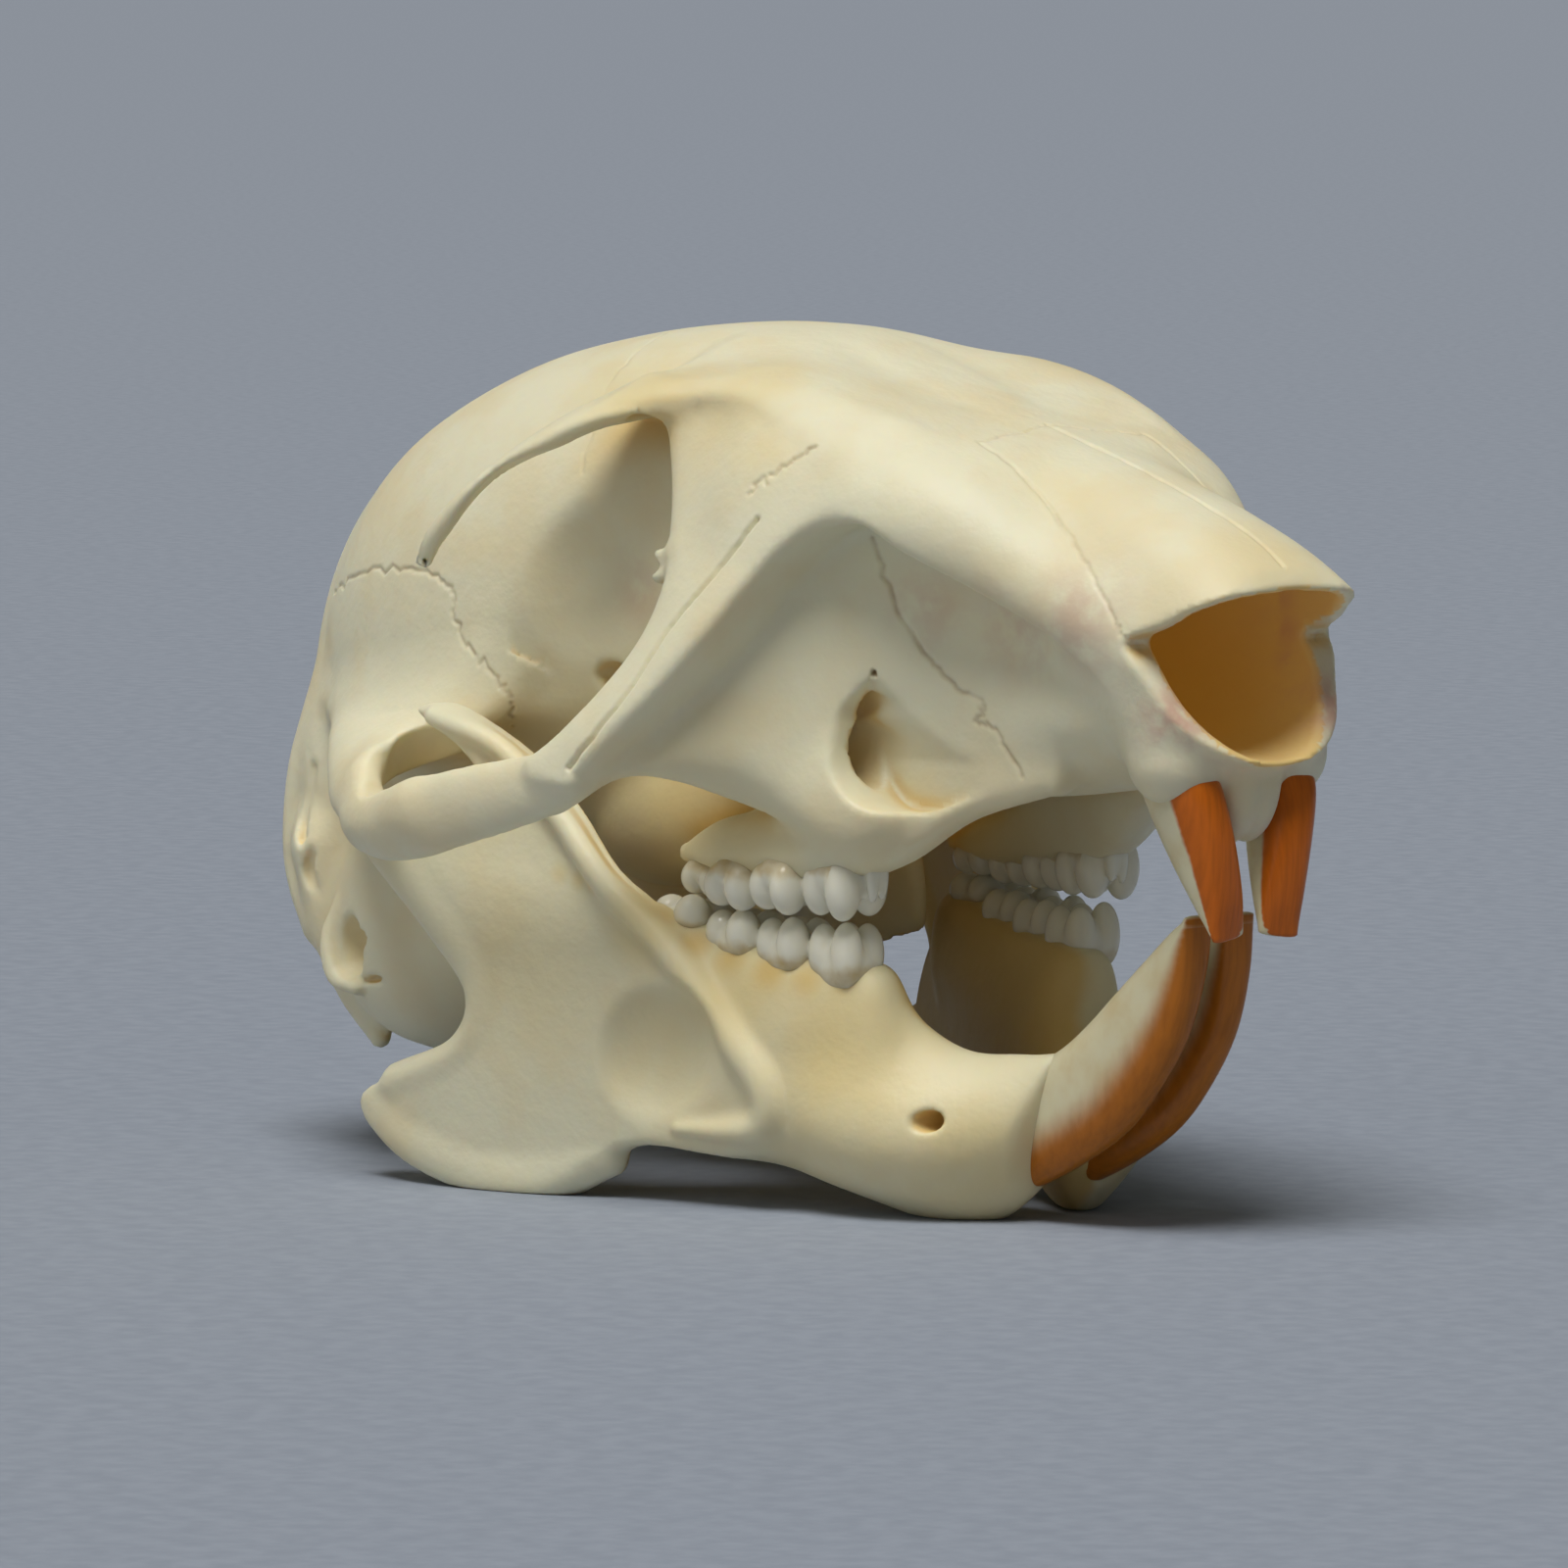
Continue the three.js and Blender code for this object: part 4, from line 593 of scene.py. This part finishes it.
nose_cavity = hull([(40, 2.4, 26.4, 19.6, 23.4, 2.2), (45, 3.1, 26.3, 18.7, 23.0, 2.2),
                   (49, 3.7, 25.8, 18.2, 22.6, 2.2), (51, 3.7, 25.1, 18.0, 22.3, 2.2),
                   (53, 3.5, 23.8, 17.8, 22.0, 2.2), (58, 3.2, 21, 17.7, 20, 2.2)])
cranium = (
    Bone(paired=True)
    .add(hull([
        (0, 2.4, 21.0, 15.6, 18.2, 2.1), (1, 4.9, 24.0, 13.6, 18.3, 2.1), (2.5, 6.8, 26.4, 12.3, 18.5, 2.1),
        (5, 8.3, 28.7, 11.5, 19.0, 2.1), (8, 9.3, 30.2, 11.3, 19.8, 2.1),
        (12, BRAINCASE_HALF, CROWN - 1.5, 11.6, 20.6, 2.1),
        (16, BRAINCASE_HALF - 0.1, CROWN - 0.7, 12.2, 21.8, 2.15),
        (20, 8.9, CROWN - 0.2, 13.2, 23.5, 2.3), (24, 7.6, CROWN, 14.4, 25.0, 2.5),
        (28, 6.8, CROWN - 0.3, 15.5, 25.2, 2.5), (32, 6.6, 31.7, 15.8, 24.4, 2.5),
        (36, 6.5, 30.5, 15.7, 23.4, 2.4),
        (40, 6.0, 29.4, 15.9, 23.0, 2.3), (44, SNOUT_HALF + 0.7, 28.3, 16.4, 22.6, 2.3),
        (48, SNOUT_HALF + 0.2, 27.0, 17.0, 22.2, 2.3), (51, SNOUT_HALF - 0.1, 25.7, 17.6, 22.0, 2.3),
        (54, SNOUT_HALF - 0.5, 23.6, 18.4, 22.0, 2.3)]), 0)
    .keep(ground((1.0, 0, 18), (-1, 0, 0.16)), 1.5)
    .keep(ground((NOSE_TIP, 0, 24), (1, 0, 0.35)), 0.5)
    .add(rib([(3.9, 0, 27.2), (3.9, 3.6, 26.1), (3.8, 6.0, 22.6), (3.2, 7.0, 18), (2.6, 7.8, 15),
              (2.4, 8.0, 12.3), (2.8, 8.0, 10.3), (3.9, 8.0, 8.8)],
             [0.3, 0.35, 0.4, 0.5, 0.5, 0.55, 0.55, 0.6]), 1.0)
    .add(egg((5.0, 6.6, 14.6), (3.0, 2.3, 5.0)), 1)
    .add(rib([(4.6, 8.0, 12), (5.0, 7.8, 9.0), (5.9, 7.6, 6.6), (7.2, 7.5, 4.6)], [1.5, 1.2, 0.9, 0.4]), 1)
    .add(egg((1.0, 3.2, 13.4), (1.6, 1.4, 2.5), -20), 0.8)
    .add(blade([(36, 7.2, 28.4), (33, 8.0, 29.9), (30.5, 8.6, 30.7), (28, 9.2, 30.5), (25.4, 9.6, 30.3)],
               [(36, 3.0, 29.4), (33, 3.4, 30.6), (30.5, 3.6, 31.4), (28, 3.8, 31.7), (25.4, 4.0, 31.7)],
               [1.6, 1.6, 1.5, 1.3, 1.2]), 1.6)
    .add(blade([(27.6, 9.4, 30.3), (24.8, 11.3, 29.5), (21.4, 13.0, 27.4), (19.2, 13.6, 25.5),
                (18.1, 13.6, 24.1)],
               [(23.4, 7.2, 30.9), (22.0, 9.8, 29.3), (19.9, 12.0, 27.0), (18.5, 13.1, 25.3),
                (17.9, 13.5, 24.0)],
               [1.2, 1.0, 0.9, 0.8, 0.6]), 0.8)
    .add(egg((32.6, 6.0, 25.6), (4.6, 4.6, 5.2), 0, -22), 1.5)
    .add(egg((37.5, 5.0, 26.6), (5.5, 3.6, 3.0), 14, -16), 2)
    .add(rib([(48.5, 3.6, 22.0), (44.5, 4.6, 23.8), (40.8, 5.7, 25.5), (37.3, 6.9, 26.0)],
             [1.1, 1.3, 1.5, 1.6]), 1.8)
    .add(blade([(38.5, 6.8, 25.4), (35.2, 8.4, 25.0), (32.9, 10.2, 23.2), (30.8, 11.8, 20.8),
                (28.5, 12.9, 18.4), (26, 13.5, 16.8)],
               [(38.4, 6.9, 15.4), (34.4, 7.8, 14.8), (31.6, 9.0, 15.6), (29.8, 10.7, 16.4), (28.3, 12, 16.5),
                (26.3, 13.2, 15.2)], [1.6, 2.4, 2.2, 1.8, 1.6, 1.4]), 0.8)
    .add(blade([(26.6, 8.4, 30.2), (28.0, 9.2, 27.6), (29.0, 10.0, 25.3), (29.6, 10.7, 23.6),
                (29.4, 11.4, 21.8), (28.6, 12.2, 20.2), (27.0, 13.2, 18.3), (25.2, 13.9, 16.9)],
               [(38.4, 5.6, 28.6), (38.2, 7.2, 26.9), (36.4, 8.8, 25.9), (35.0, 10.0, 24.2),
                (33.8, 11.2, 22.4), (32.4, 12.1, 20.6), (30.4, 13.1, 18.5), (28.2, 13.7, 16.5)],
               [2.2, 2.2, 2.2, 2.1, 1.9, 1.7, 1.5, 1.4], 3), 0.8)
    .add(rib([(30.2, 10.2, 25.0), (29.0, 10.3, 24.7), (28.3, 10.3, 24.8)], [0.6, 0.4, 0.15]), 0.4)
    .add(rib([(30.0, 10.4, 24.3), (28.9, 10.5, 24.0), (28.2, 10.5, 23.9)], [0.5, 0.3, 0.12]), 0.3)
    .add(blade([(43.0, 3.2, 18.8), (39.6, 4.1, 19.2), (37.0, 4.8, 19.4), (34, 5.5, 18.0), (30.8, 6.0, 15.2),
                (28.6, 6.3, 14.5), (26.4, 6.5, 13.5)],
               [(43.0, 3.4, 16.3), (39.6, 4.4, 15.2), (37.0, 5.4, 13.5), (34.2, 6.3, 12.6), (30.6, 6.9, 12.5),
                (28.4, 6.9, 12.5), (26.4, 6.7, 12.7)], [1.6, 2.0, 2.6, 3.1, 3.2, 3.0, 2.0], 3), 0.8)
    .add(egg((22.5, 4.0, 14.4), (5.0, 2.6, 2.8), -14), 1)
    .cut(plate([(38.2, 26.3), (36.4, 26.0), (35.2, 25.0), (34.2, 23.6), (33.3, 22.0), (31.8, 20.1),
                (30.0, 18.1), (28.2, 16.2), (27.6, 14.4), (29, 11), (46, 11), (48.0, 16.5), (48.4, 19.5),
                (47.0, 21.4), (43.2, 23.4), (40.0, 25.2)], lambda x, z: recess(x, z) + 6, 12, 0.45), 0.35)
    .add(egg((34.9, 6.7, 15.9), (2.8, 1.5, 2.4)), 1.0)
    .cut(plate([(35.9, 19.6), (35.6, 18.4), (35.7, 17.2), (36.3, 16.2), (37.2, 15.6), (38.4, 15.5),
                (39.6, 15.9), (41.5, 17), (41.5, 20.5), (38, 21.5)],
               lambda x, z: slit(x, z) + 3, 6, 0.15), 0.15)
    .add(blade([(27.6, 13.0, 18.8), (26, 13.6, 17.5), (24, ARCH_HALF - 0.5, 17.0), (22, ARCH_HALF, 16.6),
                (19.3, ARCH_HALF + 0.3, 15.9), (17, ARCH_HALF + 0.1, 14.7), (14.8, 14.0, 14.2)],
               [(28.6, 13.3, 16.8), (26.8, 13.5, 15.3), (24, 13.9, 14.3), (22, 14.3, 13.7),
                (19.5, ARCH_HALF - 0.1, 13.0), (17, 14.3, 12.7), (15.2, 13.8, 12.9)],
               [1.5, 1.4, 1.3, 1.3, 1.3, 1.2, 1.0]), 0.4)
    .add(blade([(18.6, 8.6, 19.4), (17.2, 10.6, 17.4), (15.6, 12.0, 16.9), (14.4, 13.1, 16.3),
                (15.8, 14.1, 15.3), (19.0, 14.8, 15.4)],
               [(6.4, 8.8, 17.0), (8.2, 10.6, 16.2), (10.2, 12.1, 15.1), (12.4, 13.3, 14.1),
                (15.4, 14.2, 13.6), (19.0, 14.7, 14.4)], [2.6, 2.0, 1.7, 1.5, 1.2, 0.9], 2.6), 1.6)
    .cut(egg((18.2, 12.2, 15.6), (4.6, 1.8, 2.6), 0, 10), 0.3)
    .cut(egg((16.2, 13.8, 15.8), (1.2, 1.4, 1.0)), 0.2)
    .add(rib([(48.9, 2.5, 18.0), (48.3, 2.7, 20.0), (45.6, 3.2, 22.0)], [1.8, 1.9, 1.7]), 0.8)
    .add(egg((49.7, 0.4, 17.0), (1.3, 1.0, 2.2), 10), 0.6)
    .add(blade([(25.5, 3.6, 16.0), (22, 3.0, 15.5), (18.5, 3.6, 14.0)],
               [(26.6, 4.0, 9.6), (22, 3.4, 8.4), (18.0, 4.4, 8.6)], [1.0, 0.9, 1.0]), 0.5)
    .cut(nose_cavity, 0.15)
    .cut(plate([(55, 24.8), (51.6, 23.7), (50.3, 23.0), (48.9, 22.4), (49.4, 21.5), (50.3, 20.0),
                (51.1, 18.9), (52.1, 18.0), (54.5, 17.6), (58, 20.5)], lambda x, z: 0 * x, 14, 0.2), 0.2)
    .cut(blade([(27.5, 0, 16.2), (24, 0, 16.4), (19, 0, 14.2)],
               [(27.0, 0, 13.0), (23, 0, 11.0), (18, 0, 10.0)], [3.6, 4.6, 4.6]), 0.4)
    .cut(blade([(37.4, 6.0, 18.4), (35.6, 6.2, 18.9), (33, 6.8, 19.4), (30, 7.6, 20)],
               [(37.4, 6.0, 16.2), (35.6, 6.2, 16.2), (33, 6.8, 16.4), (30, 7.6, 17)],
               [1.3, 1.5, 1.8, 2.2]), 0.1)
    .cut(egg((23.4, 11.4, 23.2), (5.0, 4.0, 5.2), 0, 10), 0.5)
    .cut(egg((0.4, 0, 15.2), (5.0, 3.2, 2.7)), 0.4)
    .add(egg((10.8, 5.7, 8.9), (5.0, 3.6, 4.8), 12, -14), 0.3)
    .add(egg((9.3, 7.2, 9.4), (4.3, 2.6, 4.6), 8), 0.8)
    .add(rib([(6.9, 9.1, 9.9), (6.5, 9.4, 8.6), (7.0, 9.5, 7.2), (8.3, 9.5, 6.8)],
             [0.35, 0.4, 0.4, 0.3]), 0.4)
    .cut(egg((8.0, 10.2, 8.4), (1.0, 1.9, 1.35), 12, 12), 0.12)
    .cut(egg((9.0, 10.0, 8.8), (0.4, 1.0, 0.35)), 0.08)
    .cut(egg((9.3, 10.0, 7.2), (0.9, 0.9, 0.2), -8), 0.08)
    .cut(rib([(4.7, 8.9, 15.2), (4.3, 9.2, 13.6), (4.6, 9.3, 12.4)], [0.2, 0.35, 0.25]), 0.15)
    .cut(rib([(5.2, 9.4, 11.9), (4.9, 9.3, 11.0), (5.5, 9.3, 10.0)], [0.2, 0.3, 0.2]), 0.15)
    .cut(egg((26.4, 9.3, 29.5), (0.6, 0.8, 0.9)), 0.2)
    .cut(egg((22.2, 7.8, 19.7), (0.75, 1.4, 0.6)), 0.2)
)
made = piece("cranium", *skin(cranium, (-2, 0, 3), (54, 16.5, 34.5), CRANIUM_CELL))

# Sutures: where two bones of the face or the braincase meet, a fine wavering line, deeper in some places.
# The bones grew towards each other and locked tooth into tooth. Each line is pressed into the cranium's mesh.
# Each has its depth, how dark it is, how much it wavers, and places on the bone that it passes.
SUTURES = [
    (0.08, 0.5, 1.0, [(36.6, 6.75, 25.6), (37.6, 6.05, 22.7), (39.1, 5.4, 20.6), (40.7, 4.9, 19.6),
                      (40.5, 4.9, 18.9), (41.3, 4.75, 18.7), (42.4, 4.4, 17.0)]),
    (0.09, 0.5, 1.6, [(35.6, 8.6, 29.0), (34.4, 9.6, 28.0), (33.6, 10.0, 27.2)]),
    (0.20, 0.1, 0.3, [(34.3, 10.4, 26.4), (32.7, 11.3, 24.0), (31.3, 12.4, 22.1), (30.1, 13.5, 19.6),
                      (27.9, 14.2, 16.9)]),
    (0.07, 0.5, 1.2, [(4.5, 7.6, 22.0), (8.0, 8.9, 23.0), (12.5, 9.7, 23.4), (15.0, 9.9, 22.7),
                      (15.1, 9.9, 21.7), (16.2, 10.0, 20.5), (17.8, 10.0, 19.5), (18.1, 9.4, 18.7),
                      (17.6, 9.0, 17.9)]),
    (0.06, 0.2, 0.6, [(39.6, 4.1, 29.2), (42.6, 4.0, 27.7), (45.5, 4.4, 25.7), (47.8, 5.0, 23.7),
                      (49.0, 4.3, 22.1)]),
    (0.10, 0.2, 0.4, [(38.8, 0, 30.0), (45.0, 0, 28.0), (52.0, 0, 25.2)]),
    (0.05, 0.2, 1.2, [(38.8, 0, 30.0), (39.4, 2.2, 29.7), (39.6, 4.1, 29.2)]),
    (0.04, 0.2, 1.2, [(17.5, 0, 32.7), (19.5, 3.5, 32.5), (20.5, 6.8, 30.6), (21.0, 8.2, 27.5)]),
    (0.25, 1.0, 0.0, [(36.7, 6.75, 20.65), (36.7, 6.75, 20.5)]),
]
SUTURE_WIDTH = 0.09
waver = np.random.default_rng(11)


def drawn(places, jag):
    """A line on the bone that wavers between its places."""
    line = curve(places, 9)
    line[1:-1] += waver.normal(0, 0.06 * jag, line[1:-1].shape)
    return line


def gap_to(line, points, way):
    """How far each point lies from a line, measured along the surface."""
    points, way = (np.where(points[:, 1:2] < 0, v * (1, -1, 1), v) for v in (points, way))
    gap = np.full(len(points), FAR)
    near = np.flatnonzero(np.all((points > line.min(0) - 1) & (points < line.max(0) + 1), 1))
    for a, run in zip(line, np.diff(line, axis=0)):
        q = points[near] - a
        q -= np.clip(q @ run / (run @ run), 0, 1)[:, None] * run
        high = np.sum(q * way[near], 1)
        flat = np.linalg.norm(q - high[:, None] * way[near], axis=1)
        gap[near] = np.minimum(gap[near], np.where(np.abs(high) < 0.7, flat, FAR))
    return gap


lines = [drawn(places, jag) for *_, jag, places in SUTURES]
points, way = surface(made)
close = np.min([gap_to(line, points, way) for line in lines], 0) < 0.4
fine = bmesh.new()
fine.from_mesh(made.data)
edges = [e for e in fine.edges if all(close[v.index] for v in e.verts)]
bmesh.ops.subdivide_edges(fine, edges=edges, cuts=2, use_grid_fill=True)
fine.to_mesh(made.data)
fine.free()
points, way = surface(made)
furrows = [np.exp(-(gap_to(line, points, way) / SUTURE_WIDTH) ** 2) for line in lines]
depth = np.max([deep * furrow for (deep, *_), furrow in zip(SUTURES, furrows)], 0)
carved = (points - depth[:, None] * way - (MID_LENGTH, 0, 0)) / 1000
made.data.vertices.foreach_set("co", carved.astype(np.float32).ravel())
made.data.update()

GOLD_STAINS = [(26.3, 9.7, 30.8, 2.6, 0.6), (31, 8, 30.6, 2.2, 0.5), (21, 7, 31.5, 2.6, 0.45),
               (43.2, 3.5, 27.6, 1.6, 0.35), (51.2, 0.5, 25.4, 2.0, 0.3), (33.5, 9, 28.4, 1.4, 0.4),
               (29, 6.8, 21, 4, 0.5), (29, 5, 15, 5, 1.0), (23, 4, 15, 6, 1.0), (17, 9.6, 16, 2.5, 0.7)]
ROSE_STAINS = [(50.5, 3.8, 19.6, 1.3, 0.9), (46.8, 5.4, 23.0, 1.8, 0.5), (42.6, 5.2, 22.6, 1.9, 0.4),
               (23.6, 7.4, 23.0, 1.3, 0.35), (38.5, 5.6, 23.2, 1.4, 0.35), (48.0, 3.4, 23.6, 0.6, 0.7),
               (48.1, 3.5, 22.4, 0.6, 0.8), (48.3, 3.6, 21.2, 0.6, 0.7), (48.5, 3.6, 20.0, 0.7, 0.5)]
# Places where the bone gets a painted glow, as if light shone through its thin walls.
PAINTED_GLOW_AT_THIN_WALLS = [(26, 4, 15.8, 3.4, 1.0), (14.5, 9.0, 16.5, 2.2, 0.6)]
# Painted shade and painted glow: the inside of the nose is tinted ochre as if in shade and glows faintly as
# if lit through its thin walls.
inside_nose = np.abs(nose_cavity[2](*points.T)) < 0.2
inside_nose &= np.all((points > nose_cavity[0]) & (points < nose_cavity[1]), 1)
keep_per_point(made.data, "hollow", np.maximum(hollow(cranium, points, way), inside_nose))
keep_per_point(made.data, "painted_glow", np.maximum(inside_nose, blotch(points, PAINTED_GLOW_AT_THIN_WALLS)))
keep_per_point(made.data, "gold", blotch(points, GOLD_STAINS))
keep_per_point(made.data, "rose", blotch(points, ROSE_STAINS))
keep_per_point(made.data, "seam", np.max([dark * furrow for (_, dark, *_), furrow in zip(SUTURES, furrows)], 0))
made.data.materials.append(bone_look)
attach(made, "root")
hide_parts("braincase", "midface", "snout", "zygomatic_arch_left", "zygomatic_arch_right",
            "auditory_bulla_left", "auditory_bulla_right")

# Stage: a wide sheet of grey-blue paper that lies flat under the skull and runs far back behind it.
# Soft daylight falls from straight above, and a weaker, warmer light comes back from the side.
bpy.ops.mesh.primitive_plane_add(size=16)
floor = bpy.context.object
floor.name = "floor"
paper_look, paper_shader, where = material("paper", Roughness=0.9)
fibre = where.node("TexNoise", {}, {"Vector": where, "Scale": 900.0, "Detail": 5.0})
link(fibre.ramp(0.25, 0.75).tint((0.265, 0.30, 0.36), (0.305, 0.34, 0.405)), paper_shader, "Base Color")
floor.data.materials.append(paper_look)

sky = bpy.data.worlds.new("studio")
bpy.context.scene.world = sky
sky.use_nodes = True
sky.node_tree.nodes["Background"].inputs["Color"].default_value = (1.0, 0.98, 0.92, 1)
sky.node_tree.nodes["Background"].inputs["Strength"].default_value = 0.10


def daylight(name, travel, strength, spread, colour):
    """Soft light from a wide part of the sky: the way it travels, its strength, its spread in degrees."""
    light = bpy.data.lights.new(name, "SUN")
    light.energy, light.angle, light.color = strength, math.radians(spread), colour
    made = bpy.data.objects.new(name, light)
    made.rotation_euler = Vector(travel).to_track_quat("-Z", "Y").to_euler()
    bpy.context.collection.objects.link(made)


daylight("overhead", (-0.26, 0.33, -1), 2.6, 30, (1.0, 0.99, 0.97))
daylight("fill", (0.1, 0.95, -0.22), 0.4, 60, (1.0, 0.96, 0.86))
bpy.context.scene.view_settings.view_transform = "Standard"


# Camera: to the right of the snout and just over the floor, with a long lens far off, as in the photograph.
# It looks along the cheek, so that the right side and the front of the snout are both seen.
AZIMUTH, ELEVATION, DISTANCE = 50.86, 4.8, 0.412
AIM = Vector((-0.00135, -0.0011, 0.0154))
camera = bpy.data.cameras.new("camera")
camera.sensor_width = 36
camera.lens = 246.4
camera.clip_end = 50
eye = bpy.data.objects.new("camera", camera)
bpy.context.collection.objects.link(eye)
turn, rise = math.radians(AZIMUTH), math.radians(ELEVATION)
back = Vector((math.sin(turn) * math.cos(rise), -math.cos(turn) * math.cos(rise), math.sin(rise)))
eye.location = AIM + DISTANCE * back
eye.rotation_euler = (-back).to_track_quat("-Z", "Y").to_euler()
bpy.context.scene.camera = eye
